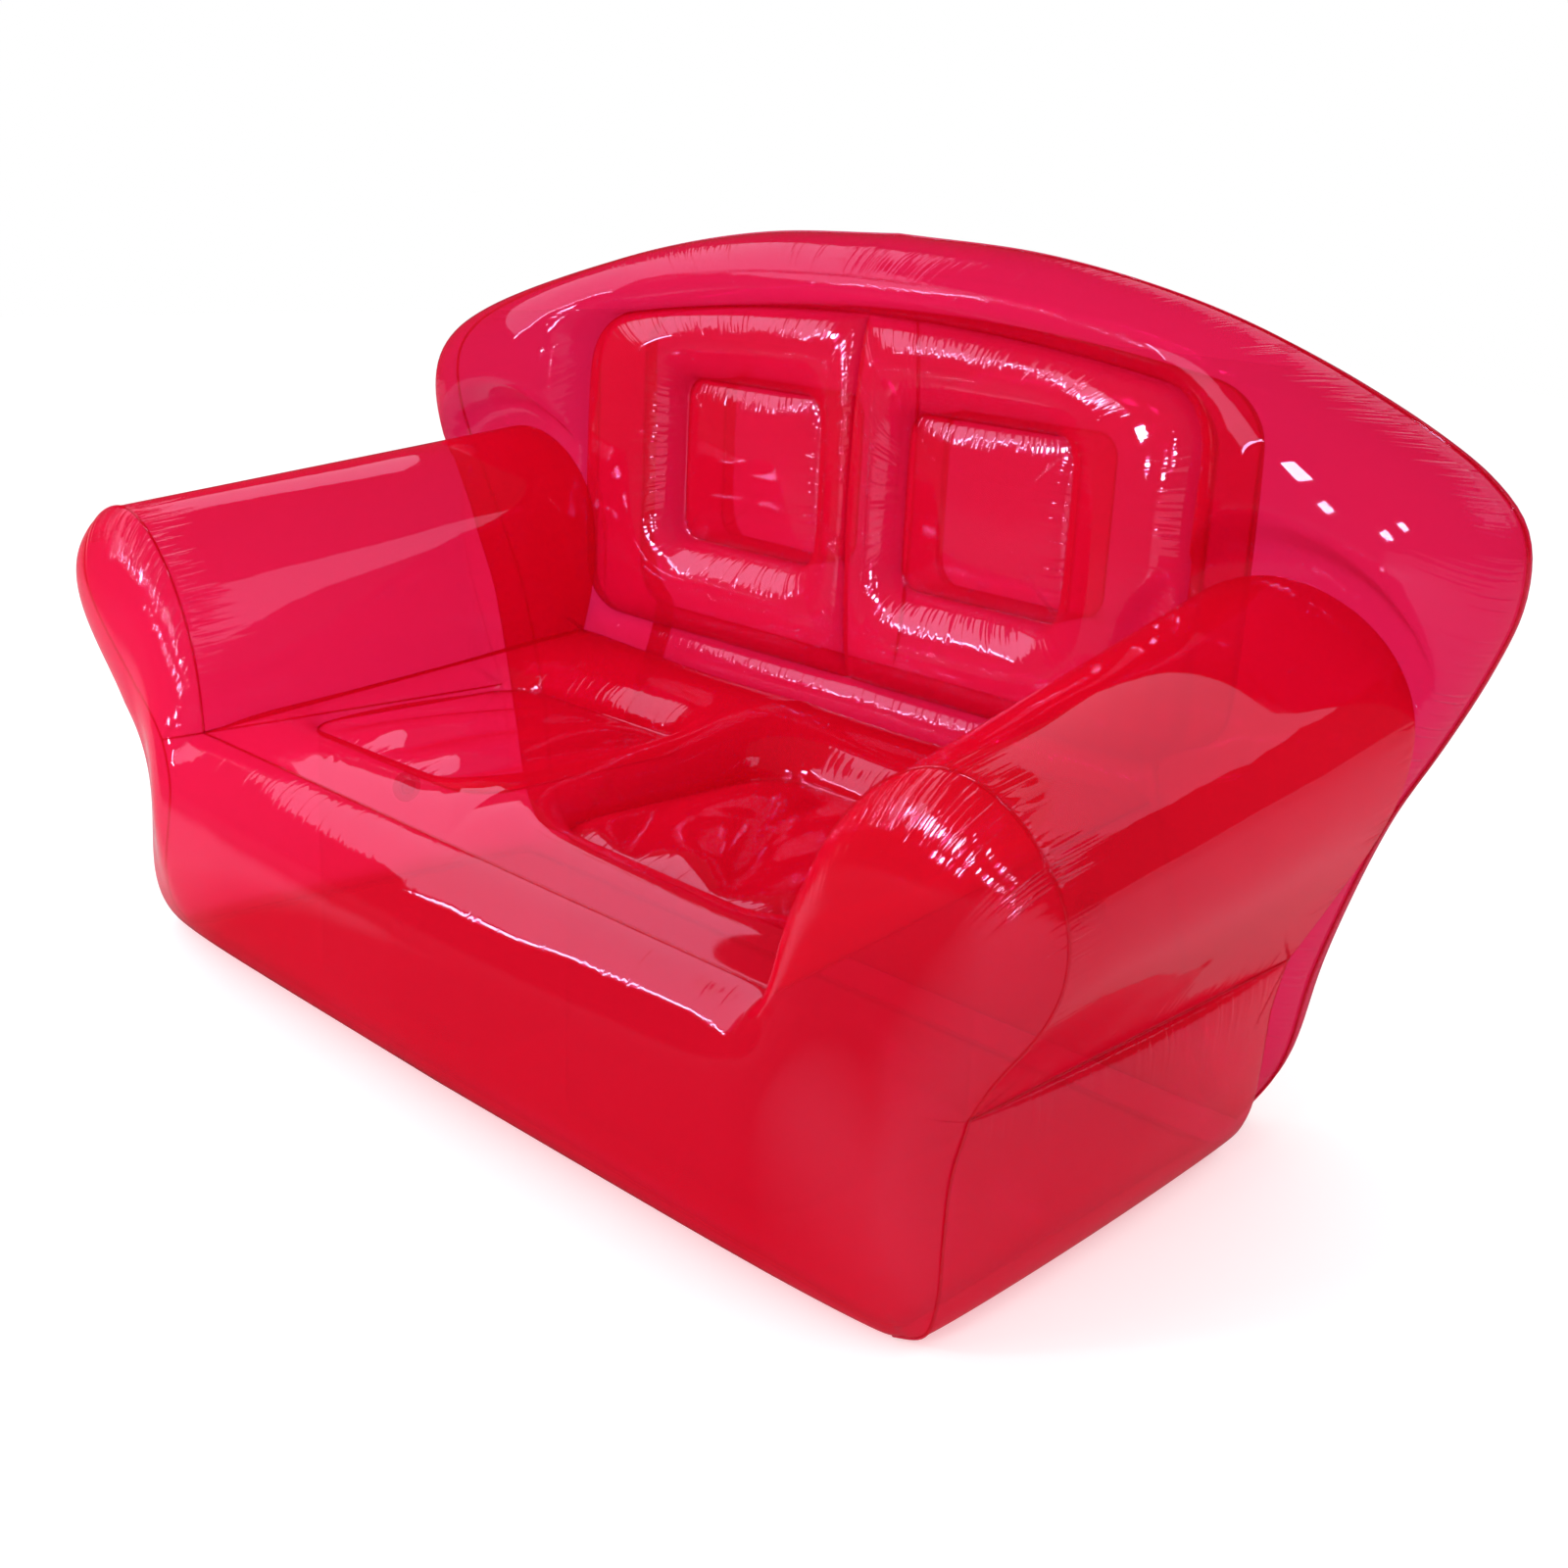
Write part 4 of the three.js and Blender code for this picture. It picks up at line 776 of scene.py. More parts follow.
def seat_rim(p, q):
    """The outer edge of the seat's half: front seam, arm crease, rear edge, and the middle line."""
    front = place(p * SEAT_CORNER_X, FRONT_Y, SEAT_FRONT_HEIGHT)
    rear = place(p * CREASE_REAR_X, REAR_Y, mix(SEAT_REAR_HEIGHT, CREASE_REAR_HEIGHT, p * p))
    middle = place(0.0, mix(FRONT_Y, REAR_Y, q), mix(SEAT_FRONT_HEIGHT, SEAT_REAR_HEIGHT, q))
    corner, end = arm_front(0.0), arm_rear(0.0)
    arm = place(mix(corner[0], end[0], q), mix(FRONT_Y, REAR_Y, q), mix(corner[1], end[1], q))
    edge = np.where((p > 1 - NEAR)[..., None], arm, middle)
    edge = np.where((q > 1 - NEAR)[..., None], rear, edge)
    return np.where((q < NEAR)[..., None], front, edge)


def pillow_folds(p, q, side):
    """Slack puffs with creases between, a little fanned: a squared sine's root, faded out at the weld."""
    if side < 0:
        turn = 3.6 * p + 1.1 * q - 0.5 * q * q + 0.12 * np.sin(6 * q + 4 * p)
    else:
        turn = (2.9 - 1.1 * q) * p + 1.5 * q + 0.1 * np.sin(5 * q - 3 * p)
    puff = np.sqrt(np.sin(np.pi * turn) ** 2 + 0.015)
    grow = ramp(q, 0, 0.22) * ramp(q, 1, -0.3) * ramp(p, 0, 0.16) * ramp(p, 1, -0.16)
    return PUFF_HEIGHT * (puff - 0.35) * grow


def seat_film():
    """Both halves of the seat, blown up between the seams and the weld lines of the squares."""
    film = Film()
    p, q = walk_round(*SEAT_CELLS)
    middle = (p < NEAR) & ~at_ends(q)
    pulled = np.where(middle | (q < NEAR), 0, SEAT_RIM[1])[:, None]
    for side in (1, -1):
        inner = seat_spot(*rounded(p, q, *SEAT_ROUNDS))
        points, t, w, gap = ring(seat_rim(p, q), inner, SEAT_RING)
        held = (t > 1 - NEAR) | ((t < NEAR) & ~middle[:, None])
        full = mix(SEAT_RING_FULL, SEAT_SIDE_FULL, p * p)[:, None]
        full = full * (1 - np.exp((FRONT_Y - points[..., 1]) / SEAT_FRONT_EASE))
        run = run_of(inner)
        drawn = gathers((run, gap * (1 - w), SQUARE_RING), (run, gap * w, (SEAT_RIM[0], pulled)))
        rear_corner = ramp(points[..., 1], *SLACK_FROM_Y) * ramp(np.abs(points[..., 0]), *SLACK_FROM_X)
        film.patch(points * (side, 1, 1), held, full, 0, drawn, SEAT_TAUT + SEAT_SLACK * rear_corner)
        a, b, held, drawn = pad_shares(SEAT_CELLS, SQUARE_RUNS, *SQUARE_PAD)
        points = seat_spot(*pad_grid(a, b, SEAT_ROUNDS)) * (side, 1, 1)
        film.patch(points, held, SEAT_PAD_FULL, pillow_folds(a, b, side), drawn, QUILT_SLACK)
    return film.merge().blow(2, 1, SEAT_PLATEAU).face_to((0, 0, 1)).crease()


# ---- Back: two films with the same weld lines
LOOP_ROUNDS = (LOOP_ROUND / LOOP_HALF_WIDTH / 2, LOOP_ROUND / (LOOP_TOP - LOOP_BOTTOM))
WINDOW_ROUNDS = [WINDOW_ROUND / (far - near) for near, far in (WINDOW_X, WINDOW_Z)]


def loop_place(p, q, y):
    """The outer weld loop's half, by shares, at a depth: a flat foot, an upright side and an arched top."""
    a, b = rounded((p + 1) / 2, q, *LOOP_ROUNDS)
    a = 2 * a - 1
    return place(a * LOOP_HALF_WIDTH, y, mix(LOOP_BOTTOM, LOOP_TOP - LOOP_DROP * a * a, b))


def window_place(p, q, y):
    """A place in a window, by its shares across and up, and at a depth."""
    return place(mix(*WINDOW_X, p), y, mix(*WINDOW_Z, q))


def back_rim(p, q):
    """The back's perimeter seam: foot, side up to the lobe, and crown, leaning forward round the lobe."""
    along = np.where(p > 1 - NEAR, LOBE_SHARE * rim_rise(q), mix(1, LOBE_SHARE, p))
    line = back_line(along)
    forward = LOBE_FORWARD * np.exp(-(((along - LOBE_SHARE) / LOBE_SPREAD) ** 2))
    foot = q < NEAR
    x = np.where(foot, p * BACK_FOOT_HALF, line[..., 0])
    z = np.where(foot, 0, line[..., 1])
    return place(x, np.where(foot, BACK_SEAM_Y, BACK_SEAM_Y - forward), z)


def rim_rise(q):
    """Even steps up the side, from the crowded share up the loop."""
    return np.arccos(np.clip(1 - 2 * q, -1, 1)) / np.pi


def distance_outside(x, z):
    """How far a point of the back lies outside the base's rear outline, and 0 within it."""
    s = np.linspace(0, 1, 41)
    line = np.vstack([[(0, SEAT_REAR_HEIGHT)], arm_rear(s), foot_rear(s), [(0, 0)]])
    start, end = line, np.roll(line, -1, axis=0)
    at = np.stack([np.abs(x), z], -1)[:, None]
    span = end - start
    share = np.clip(((at - start) * span).sum(-1) / np.maximum((span * span).sum(-1), NEAR), 0, 1)
    gap = np.linalg.norm(at - start - share[..., None] * span, axis=-1)
    nearest = np.where(start[:, 0] + end[:, 0] > 0, gap, np.inf).min(1)
    rises = (start[:, 1] > at[..., 1]) != (end[:, 1] > at[..., 1])
    with np.errstate(divide="ignore", invalid="ignore"):
        cross = start[:, 0] + (at[..., 1] - start[:, 1]) / (end[:, 1] - start[:, 1]) * span[:, 0]
    inside = (rises & (at[..., 0] < cross)).sum(1) % 2 == 1
    return np.where(inside, 0, nearest)


def back_panel_film(facing):
    """One film of the back: facing -1 is the front film, which lies flat where the base backs it."""
    film = Film()
    loop_y = BACK_SEAM_Y + facing * LOOP_HALF_DEPTH
    window_y = BACK_SEAM_Y + facing * WINDOW_HALF_DEPTH
    lobe = LOBE_FRONT_FULL if facing < 0 else LOBE_REAR_FULL
    flat = (1, 0, 1)
    p, q = walk_round(*BACK_CELLS)
    u, v = half_walk(BACK_CELLS)
    for side in (1, -1):
        outer, inner = back_rim(u, v), loop_place(u, v, loop_y)
        points, t, w, gap = ring(outer, inner, LOBE_RING, flat)
        full = np.where(v > 1 - NEAR, mix(CROWN_FULL, lobe, ramp(u, 0, 1)), lobe)
        full = np.where(v < NEAR, SKIRT_FULL, full)[:, None]
        pulled = mix(*BACK_RIM_PULLS, ramp(outer[:, :1] / BACK_HALF_WIDTH, 0.55, 0.3))
        drawn = gathers(
            (run_of(outer * flat), gap * w, (BACK_RIM_GATHER, pulled)),
            (run_of(inner * flat), gap * (1 - w), LOOP_OUTSIDE),
        )
        # Painted shade: the film of the skirt below the loop, where the back meets the seat, is made deeper
        low = ramp(points[..., 2], *SKIRT_SHADE_UNDER) * ramp(points[..., 0], *SKIRT_SHADE_WITHIN)
        film.patch(points * (side, 1, 1), at_ends(t), full, 0, drawn, doubled=low)
        outer = loop_place(p, q, loop_y + facing * np.where(p < NEAR, MIDDLE_RISE * np.sin(np.pi * q), 0))
        inner = window_place(*rounded(p, q, *WINDOW_ROUNDS), window_y)
        points, t, w, gap = ring(outer, inner, WINDOW_RING, flat)
        drawn = gathers(
            (run_of(inner * flat), gap * (1 - w), WINDOW_WELD), (run_of(outer * flat), gap * w, LOOP_INSIDE)
        )
        # Inside the weld loop, ring and pads alike, the film is made deeper throughout
        film.patch(points * (side, 1, 1), at_ends(t), BACK_RING_FULL, 0, drawn, doubled=1)
        a, b, held, drawn = pad_shares(BACK_CELLS, WINDOW_RUNS, WINDOW_WELD, WINDOW_WELD)
        points = window_place(*pad_grid(a, b, WINDOW_ROUNDS), window_y) * (side, 1, 1)
        film.patch(points, held, BACK_PAD_FULL, 0, drawn, SEAT_TAUT, 1)
    film.merge().blow(1, facing, BACK_PLATEAU)
    if facing < 0:
        contact = REAR_Y + SEAM_GAP + FILM
        x, y, z = film.points.T
        free = np.maximum(0, distance_outside(x, z) - CONTACT_MARGIN)
        film.points[:, 1] = np.maximum(y, contact - SWELL_SLOPE * free)
    return film.face_to((0, facing, 0))


# ---- Inner bands, webs and weld beads, seen through the film
BAND_MARGIN, BAND_WAVE, QUILT_BAND_WAVE, BAND_WAVE_RUNS = FILM + 0.5, 1.5, 3.0, (17, 41)
WEB_MARGIN, WEB_INSET, WEB_WAVE, WEB_WAVE_RUN = 0.008, 1.5, 2.0, 23
BASE_BEAD, RIM_BEAD, BACK_BEAD, BEAD_SIDES, SHORTEST_STEP = 1.5, 1.7, 1.4, 8, 0.3


def band_film(line, axis, low, high, wave=BAND_WAVE):
    """A strip that stands along a closed weld line, with a slow wave that is still at both edges."""
    t = np.linspace(0, 1, BAND_STEPS)
    points = np.repeat(line[:, None], BAND_STEPS, axis=1).astype(float)
    points[..., axis] = mix(low, high, t)[None]
    along = arc_of(line)[:, None]
    quick, slow = (along / run for run in BAND_WAVE_RUNS)
    fold = wave * np.sin(quick + np.sin(slow)) * np.sin(np.pi * t)[None]
    return Film().patch(points, False, 0, fold).merge().crease()


def seat_square_line(side):
    """The weld line of a seat square."""
    return seat_spot(*rounded(*walk_round(*SEAT_CELLS), *SEAT_ROUNDS)) * (side, 1, 1)


def window_line(side, y=BACK_SEAM_Y):
    """The weld line of a window of the back."""
    return window_place(*rounded(*walk_round(*BAND_CELLS), *WINDOW_ROUNDS), y) * (side, 1, 1)


def both_halves(right):
    """A line of the right half, followed by its mirror image back to the start."""
    return np.vstack([right, (right * (-1, 1, 1))[::-1]])


def loop_line(y=BACK_SEAM_Y):
    """The outer weld loop of the back, right round both halves."""
    return both_halves(loop_place(*half_walk(BAND_CELLS), y))


def arm_web_film(side):
    """A web across the arm's root, between the crease and the valley."""
    s, w = steps(*WEB_CELLS)
    w = crowded(w)
    points = mix(*arm_roots(w), mix(WEB_MARGIN, 1 - WEB_MARGIN, s)[..., None])
    points[..., 1] = np.clip(points[..., 1], FRONT_Y + WEB_INSET, REAR_Y - WEB_INSET)
    fold = WEB_WAVE * np.sin(points[..., 1] / WEB_WAVE_RUN) * np.sin(np.pi * s)
    return Film().patch(points * (side, 1, 1), False, 0, fold).merge().crease()


def bead(path, radius, closed=False, across=(0, 1, 0)):
    """A round weld bead: a ring of points carried along the path, square to it."""
    path = np.asarray(path, float)
    path = path[np.append(True, np.linalg.norm(np.diff(path, axis=0), axis=1) > SHORTEST_STEP)]
    if closed:
        path = path[:-1] if np.linalg.norm(path[0] - path[-1]) < SHORTEST_STEP else path
        way = np.roll(path, -1, axis=0) - np.roll(path, 1, axis=0)
    else:
        way = np.gradient(path, axis=0)
    way /= np.linalg.norm(way, axis=1)[:, None]
    one = np.cross(way, np.array(across, float))
    one /= np.linalg.norm(one, axis=1)[:, None]
    two = np.cross(way, one)
    turn = np.linspace(0, 2 * np.pi, BEAD_SIDES, endpoint=False)[None, :, None]
    ring_spots = radius * (np.cos(turn) * one[:, None] + np.sin(turn) * two[:, None])
    points = (path[:, None] + ring_spots).reshape(-1, 3)
    ids = np.arange(len(points)).reshape(-1, BEAD_SIDES)
    faces = net(ids, closed)[:, [0, 3, 2, 1]]
    if closed:
        return points, faces
    caps = []
    for r in (ids[0], ids[-1][::-1]):
        caps += [[r[0], r[j], r[j + 1], r[j + 2]] for j in range(1, BEAD_SIDES - 2, 2)]
    return points, np.vstack([faces, caps])


def joined(parts):
    """Several meshes as one: their points in a row and their faces counted on."""
    points, faces, count = [], [], 0
    for p, f in parts:
        points.append(p)
        faces.append(np.asarray(f) + count)
        count += len(p)
    return np.vstack(points), np.vstack(faces)


# ---- The pieces
FILM_MARKS = (("drawn", "FLOAT_VECTOR", "vector"), ("slack", "FLOAT", "value"), ("doubled", "FLOAT", "value"))


def show(name, film, node, material=base_film_painted_lighter):
    """A film piece, with the film's own wall and the marks that its material reads."""
    obj = piece(name, film.points, film.faces, material, node)
    for word, kind, field in FILM_MARKS:
        obj.data.attributes.new(word, kind, "POINT").data.foreach_set(field, getattr(film, word).ravel())
    shell = obj.modifiers.new("film wall", "SOLIDIFY")
    shell.thickness, shell.offset = FILM * MM, -1


def make_base():
    """Every film of the base, and the bands and webs in it."""
    show("apron_and_arm_faces", front_film(), "front_panel")
    show("quilted_seat", seat_film(), "seat_panel")
    top = SEAT_SQUARE_HEIGHT - BAND_MARGIN
    for side, word in ((1, "right"), (-1, "left")):
        show(f"{word}_arm_roll", arm_film(side), f"{word}_arm_panel")
        film = side_film(side).open_for("base_valve") if side < 0 else side_film(side)
        show(f"{word}_lower_side", film, f"{word}_side_panel")
        band = band_film(seat_square_line(side), 2, BAND_MARGIN, top, QUILT_BAND_WAVE)
        show(f"{word}_quilt_band", band, f"{word}_seat_band", web_film)
        show(f"{word}_arm_root_web", arm_web_film(side), f"{word}_arm_web", web_film)
    show("floor_panel", bottom_film(), "bottom_panel")
    show("base_rear", base_rear_film(), "base_rear_panel")


def make_back():
    """Both films of the back, the loop band and the window bands."""
    bands = [("loop_band", loop_line(), LOOP_HALF_DEPTH, "back_loop_band")]
    for side, word in ((1, "right"), (-1, "left")):
        bands.append((f"{word}_window_frame", window_line(side), WINDOW_HALF_DEPTH, f"{word}_window_band"))
    show("back_front", back_panel_film(-1), "back_front_panel", back_film)
    show("back_rear", back_panel_film(1).open_for("back_valve"), "back_rear_panel", back_film)
    for name, line, half_depth, node in bands:
        reach = half_depth - BAND_MARGIN
        band = band_film(line, 1, BACK_SEAM_Y - reach, BACK_SEAM_Y + reach)
        show(name, band, node, back_film)


def make_welds():
    """Weld beads along the seams of the base and of the back."""
    s = np.linspace(0, 1, 200)
    path = np.vstack([arm_front(s), foot_front(s[::4])])
    parts = []
    for side in (1, -1):
        x, z = path.T
        parts.append(bead(place(side * x, seam_y(x, z), z), BASE_BEAD))
        upright = {"across": (0, 0, 1)}
        roots = arm_roots(np.linspace(0, 1, 60))
        parts += [bead(root * (side, 1, 1), BASE_BEAD, **upright) for root in roots]
        parts.append(bead(seat_square_line(side), BASE_BEAD, closed=True, **upright))
    x = np.linspace(-SEAT_CORNER_X, SEAT_CORNER_X, 120)
    parts.append(bead(place(x, FRONT_Y, SEAT_FRONT_HEIGHT), BASE_BEAD))
    points, faces = joined(parts)
    piece("base_weld_beads", points, faces, weld_film)
    p, q = (share[BAND_CELLS[0] :] for share in half_walk(BAND_CELLS))
    parts = [bead(both_halves(back_rim(p, q)), RIM_BEAD)]
    for facing in (-1, 1):
        window_y = BACK_SEAM_Y + facing * WINDOW_HALF_DEPTH
        loop = loop_line(BACK_SEAM_Y + facing * LOOP_HALF_DEPTH)
        lines = (loop, window_line(1, window_y), window_line(-1, window_y))
        parts += [bead(line, BACK_BEAD, closed=True) for line in lines]
    points, faces = joined(parts)
    piece("back_weld_beads", points, faces, weld_film)


# ---- Valves, about their own axis: out of the sofa is up, and zero is the film's surface
NECK_BORE, NECK_WALL, NECK_PROUD, NECK_SUNK = 10.5, 2.2, 4, 14
FLANGE_RADIUS, FLANGE_THICK, FLANGE_DROP = 22, 1.2, 7
RUNNING_GAP, INSERT_WALL, LIP, LIP_THICK = 0.3, 2.0, 1.8, 1.4
SPOKE_WIDTH, SPOKE_THICK, FLAP_THICK, FLAP_TAB = 2, 1.5, 0.8, 2.4
STOPPER_WALL, STOPPER_DEPTH, CAP_THICK = 1.4, 8, 1.6
TAB_WIDTH, TAB_HEIGHT, TAB_THICK = 7, 5, 1.6
INSERT_RADIUS = NECK_BORE - RUNNING_GAP
INSERT_BORE = INSERT_RADIUS - INSERT_WALL
INSERT_FOOT = SPOKE_THICK - NECK_SUNK
LIP_HEIGHT = NECK_PROUD + RUNNING_GAP
CAP_HEIGHT = LIP_HEIGHT + LIP_THICK + RUNNING_GAP
PLUG_RADIUS = INSERT_BORE - RUNNING_GAP
FLAP_RADIUS = INSERT_RADIUS - FLAP_TAB / 2
FLAP_TOP = INSERT_FOOT - RUNNING_GAP
VALVE_HOLE, COLLAR = NECK_BORE + NECK_WALL + 1, 3
VALVE_EASE, VALVE_AROUND, SINK, EDGE_BEVEL, BEVEL_ANGLE = 0.35, 72, 0.4, 0.25, 60


def eased_profile(corners, closed):
    """A turned outline whose corners are cut back and rounded by a curve of five points."""
    corners = np.array(corners, float)
    line = []
    last = len(corners) - 1
    for k, here in enumerate(corners):
        if here[0] < NEAR or (not closed and k in (0, last)):
            line.append(here)
            continue
        back, on = corners[k - 1] - here, corners[k + 1 if k < last else 0] - here
        cut = min(VALVE_EASE, np.linalg.norm(back) * 0.4, np.linalg.norm(on) * 0.4)
        start = here + back / np.linalg.norm(back) * cut
        end = here + on / np.linalg.norm(on) * cut
        for t in np.linspace(0, 1, 5):
            line.append((1 - t) ** 2 * start + 2 * t * (1 - t) * here + t * t * end)
    return np.array(line)


def turned(corners, closed=True):
    """A profile of radius and height turned about the valve's axis. A corner on the axis is one point."""
    line = eased_profile(corners, closed)
    turn = np.linspace(0, 2 * np.pi, VALVE_AROUND, endpoint=False)
    radius, height = line[:, :1], line[:, 1:]
    points = place(radius * np.cos(turn), radius * np.sin(turn), height).reshape(-1, 3)
    ids = np.arange(len(points)).reshape(-1, VALVE_AROUND)
    poles = line[:, 0] < NEAR
    ids[poles] = ids[poles][:, :1]
    faces = net(ids, closed)
    return points, faces[(faces[:, 0] != faces[:, 1]) | (faces[:, 2] != faces[:, 3])]


def slab(low, high):
    """A box between two corners."""
    low, high = np.array(low, float), np.array(high, float)
    signs = np.array([[x, y, z] for x in (0, 1) for y in (0, 1) for z in (0, 1)], float)
    faces = [[0, 1, 3, 2], [4, 6, 7, 5], [0, 4, 5, 1], [2, 3, 7, 6], [0, 2, 6, 4], [1, 5, 7, 3]]
    return low + signs * (high - low), np.array(faces)


def valve_stand(name):
    """A valve's place on the film and its turn, whose last axis points out of the sofa, from its joints."""
    joints = {joint["name"]: joint for joint in frame["joints"]}
    flap = joints[f"{name}_flap_swing"]
    out = np.array(joints[f"{name}_insert_pull"]["axis"])
    right = -np.array(flap["axis"])
    up = np.cross(out, right)
    return np.array(flap["pos_m"]) / MM + up * FLAP_RADIUS - out * FLAP_TOP, np.stack([right, up, out], -1)


def make_valve(valve):
    """A welded-in neck, a push-in insert with a spoked foot, a check flap and a stopper with a pull tab."""
    spot, turn = valve_stand(valve)

    def fit(name, part, node, body=None, material=valve_plastic):
        """A valve piece moved to its stand, with its small edges bevelled."""
        points, faces = part
        moved = spot + points @ turn.T - (0, ORIGIN_SHIFT, 0)
        body = body or f"{valve}_{node}_body"
        obj = piece(f"{valve}_{name}", moved, faces, material, f"{valve}_{node}", body)
        soft = obj.modifiers.new("eased edges", "BEVEL")
        soft.width, soft.segments, soft.limit_method = EDGE_BEVEL * MM, 2, "ANGLE"
        soft.angle_limit = math.radians(BEVEL_ANGLE)

    neck = NECK_BORE + NECK_WALL
    flange = -FLANGE_DROP - FLANGE_THICK
    fit("neck", turned([
        (NECK_BORE, -NECK_SUNK), (neck, -NECK_SUNK), (neck, flange), (FLANGE_RADIUS, flange),
        (FLANGE_RADIUS, -FLANGE_DROP), (neck, -FLANGE_DROP), (neck, NECK_PROUD), (NECK_BORE, NECK_PROUD),
    ]), "seat", BODY)
    lip, lip_top = INSERT_RADIUS + LIP, LIP_HEIGHT + LIP_THICK
    tube = turned([
        (INSERT_BORE, INSERT_FOOT), (INSERT_RADIUS, INSERT_FOOT), (INSERT_RADIUS, LIP_HEIGHT),
        (lip, LIP_HEIGHT), (lip, lip_top), (INSERT_BORE, lip_top),
    ])
    reach, half, top = INSERT_BORE + SINK, SPOKE_WIDTH / 2, INSERT_FOOT + SPOKE_THICK
    spokes = [
        slab((-reach, -half, INSERT_FOOT), (reach, half, top)),
        slab((-half, half, INSERT_FOOT), (half, reach, top)),
        slab((-half, -reach, INSERT_FOOT), (half, -half, top)),
    ]
    fit("push_insert", joined([tube, *spokes]), "insert")
    under = FLAP_TOP - FLAP_THICK
    disc = turned([(0, under), (FLAP_RADIUS, under), (FLAP_RADIUS, FLAP_TOP), (0, FLAP_TOP)], False)
    fit("check_flap", disc, "flap", material=valve_rubber)
    inside, plug, crown = PLUG_RADIUS - STOPPER_WALL, CAP_HEIGHT - STOPPER_DEPTH, CAP_HEIGHT + CAP_THICK
    cap = turned([
        (0, CAP_HEIGHT), (inside, CAP_HEIGHT), (inside, plug), (PLUG_RADIUS, plug),
        (PLUG_RADIUS, CAP_HEIGHT), (neck, CAP_HEIGHT), (neck, crown), (0, crown),
    ], False)
    wide, thick = TAB_WIDTH / 2, TAB_THICK / 2
    tab = slab((-wide, -thick, crown - SINK), (wide, thick, crown + TAB_HEIGHT))
    fit("cap", joined([cap, tab]), "stopper")


# ---- Studio: floor, white surround and soft lamps
FLOOR_TINTS, FLOOR_MIRRORS = (0.8, 0.78), (0.1, 0.5)
FLOOR_REACH, FLOOR_DROP, FLOOR_GLOW, FLOOR_GLOW_THROUGH = 9, 0.0005, 0.34, 0.06
SKY_SEEN, SKY_ELSE, SKY_MIRROR_LOSS, SOFA_MIDDLE = 1.0, 0.86, -0.78, (0, 0, 0.45)
FILM_BOUNCES, LIGHT_BOUNCES = 48, 16


def where_seen(add, bare, through):
    """One strength where the camera looks straight, another where it looks through film, and else none."""
    path = add("ShaderNodeLightPath").outputs
    films = maths(add, "MINIMUM", path["Transparent Depth"], 1.0)
    strength = maths(add, "MULTIPLY_ADD", films, through - bare, bare)
    return maths(add, "MULTIPLY", path["Is Camera Ray"], strength)


def greys(*values):
    """Opaque greys."""
    return [(value, value, value, 1) for value in values]


def make_floor():
    """A pale floor that keeps the shadow, glows where it is seen bare, and mirrors dim before the front."""
    white, add = new_material("pale floor")
    spot = add("ShaderNodeTexCoord").outputs["Object"]
    grain = add("ShaderNodeTexNoise", n0=spot, Scale=3.0, Detail=3.0)
    lit = add("ShaderNodeBsdfPrincipled", Base_Color=blend(add, grain.outputs["Fac"], *greys(*FLOOR_TINTS)),
              Roughness=0.9, Specular_IOR_Level=0.0)
    across, along, _ = add("ShaderNodeSeparateXYZ", n0=spot).outputs
    right = spread(add, across, n1=0.45, n2=0.7)
    left = spread(add, across, n1=-0.5, n2=-0.75)
    behind = spread(add, along, n1=-1.0, n2=-0.75)
    pale = maths(add, "MAXIMUM", right, maths(add, "MULTIPLY", left, behind))
    dim = add("ShaderNodeBsdfDiffuse", Color=blend(add, pale, *greys(*FLOOR_MIRRORS)))
    mirrored = add("ShaderNodeLightPath").outputs["Is Glossy Ray"]
    ground = add("ShaderNodeMixShader", n0=mirrored, n1=lit.outputs[0], n2=dim.outputs[0])
    glow = where_seen(add, FLOOR_GLOW, FLOOR_GLOW_THROUGH)
    glowing = add("ShaderNodeEmission", Color=(1, 1, 1, 1), Strength=glow)
    both = add("ShaderNodeAddShader", n0=ground.outputs[0], n1=glowing.outputs[0])
    add("ShaderNodeOutputMaterial", Surface=both.outputs[0])
    mesh = bpy.data.meshes.new("floor")
    signs = ((-1, -1), (1, -1), (1, 1), (-1, 1))
    mesh.from_pydata([(FLOOR_REACH * x, FLOOR_REACH * y, -FLOOR_DROP) for x, y in signs], [], [(0, 1, 2, 3)])
    mesh.materials.append(white)
    placed("floor", mesh)


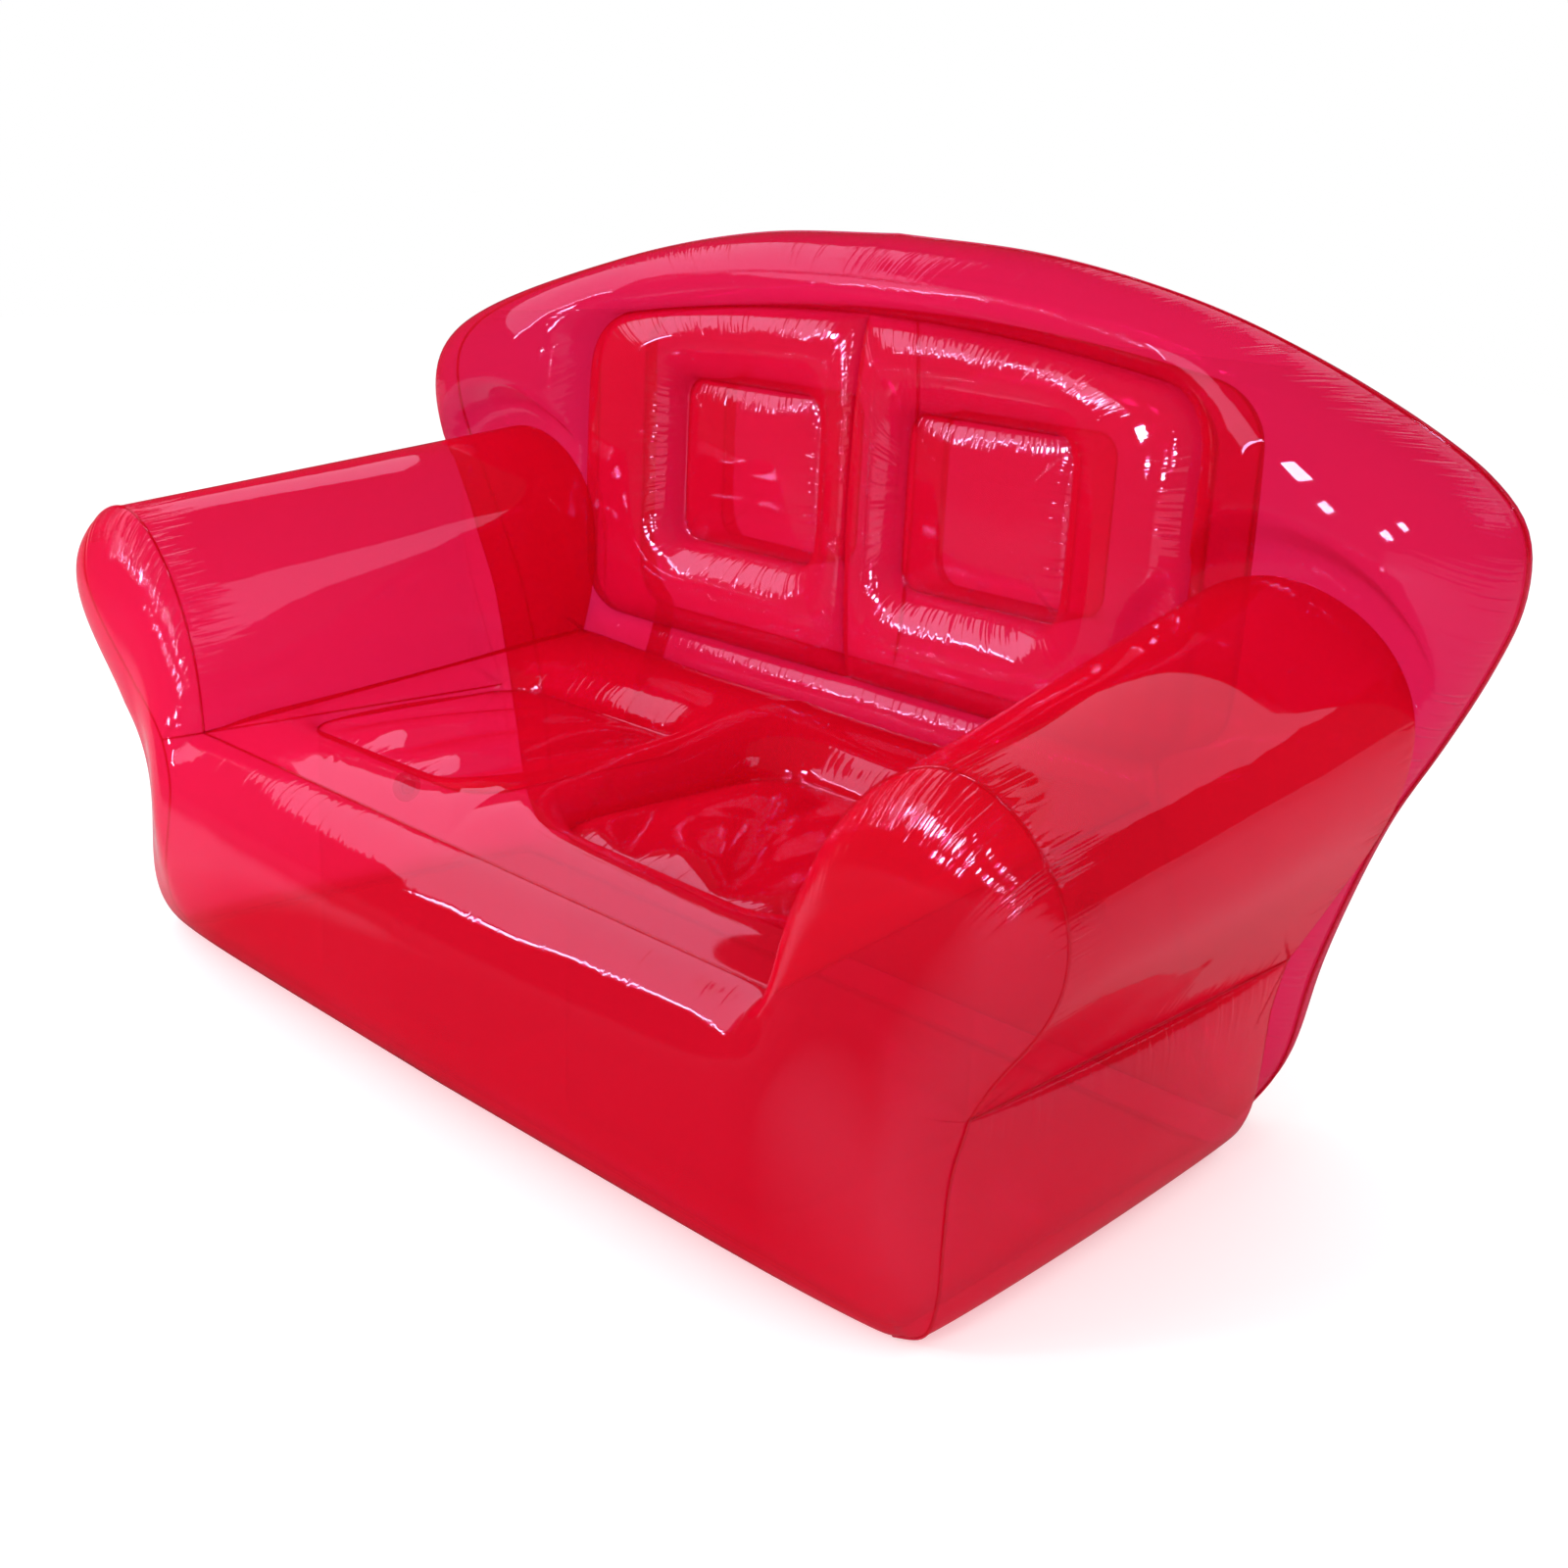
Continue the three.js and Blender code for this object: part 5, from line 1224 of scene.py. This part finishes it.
def make_surround():
    """A world that is white where it is seen, dim in reflections, and plain as light."""
    world = bpy.data.worlds.new("white surround")
    world.use_nodes = True
    world.node_tree.nodes.clear()
    add = adder(world.node_tree)
    seen = maths(add, "MAXIMUM", where_seen(add, SKY_SEEN, SKY_ELSE), SKY_ELSE)
    mirrored = add("ShaderNodeLightPath").outputs["Is Glossy Ray"]
    strength = maths(add, "MULTIPLY_ADD", mirrored, SKY_MIRROR_LOSS, seen)
    sky = add("ShaderNodeBackground", Color=(1, 1, 1, 1), Strength=strength)
    add("ShaderNodeOutputWorld", Surface=sky.outputs[0])
    bpy.context.scene.world = world


def lamp(name, spot, along, long, short, glow):
    """A lamp that faces the sofa, with its long side along a direction, and so many times white."""
    data = bpy.data.lights.new(name, "AREA")
    data.shape, data.size, data.size_y = "RECTANGLE", long, short
    data.energy = glow * long * short * math.pi
    back = (Vector(spot) - Vector(SOFA_MIDDLE)).normalized()
    side = (Vector(along) - back * Vector(along).dot(back)).normalized()
    shape = placed(name, data)
    turn = Matrix((side, back.cross(side), back)).transposed().to_4x4()
    shape.matrix_world = Matrix.Translation(spot) @ turn
    return shape


def make_lamps():
    """Panels at the left, the rear and the right, a strip, a fill that gloss doesn't show, and four spots."""
    lamp("left panel", (-2.2, -0.6, 2.3), (0, 1, 0.25), 3.9, 1.3, 2.1)
    lamp("panel strip", (-2.2, -2.6, 1.8), (0.68, 0, 0.73), 1.5, 0.09, 24)
    lamp("rear panel", (0.4, 2.2, 2.25), (1, 0, 0), 3.4, 1.2, 0.9)
    lamp("right panel", (2.3, 0.9, 2.5), (0, 1, 0), 2.0, 1.3, 1.2)
    lamp("right fill", (2.9, -1.7, 1.1), (0, 0, 1), 1.6, 2.2, 1.4).visible_glossy = False
    spots = [(-1.1, 1.7, 0.5), (1.2, 1.45, 0.28), (-0.5, 0.9, 0.25), (0.7, 0.85, 0.25)]
    for k, (x, z, size) in enumerate(spots):
        lamp(f"front spot {k + 1}", (x, -3.1, z), (1, 0, 1), size, size, 38)


make_base()
make_back()
make_welds()
make_valve("base_valve")
make_valve("back_valve")
make_floor()
make_surround()
make_lamps()
bpy.context.scene.view_settings.view_transform = "Standard"

cycles = bpy.context.scene.cycles
cycles.transparent_max_bounces, cycles.max_bounces = FILM_BOUNCES, LIGHT_BOUNCES
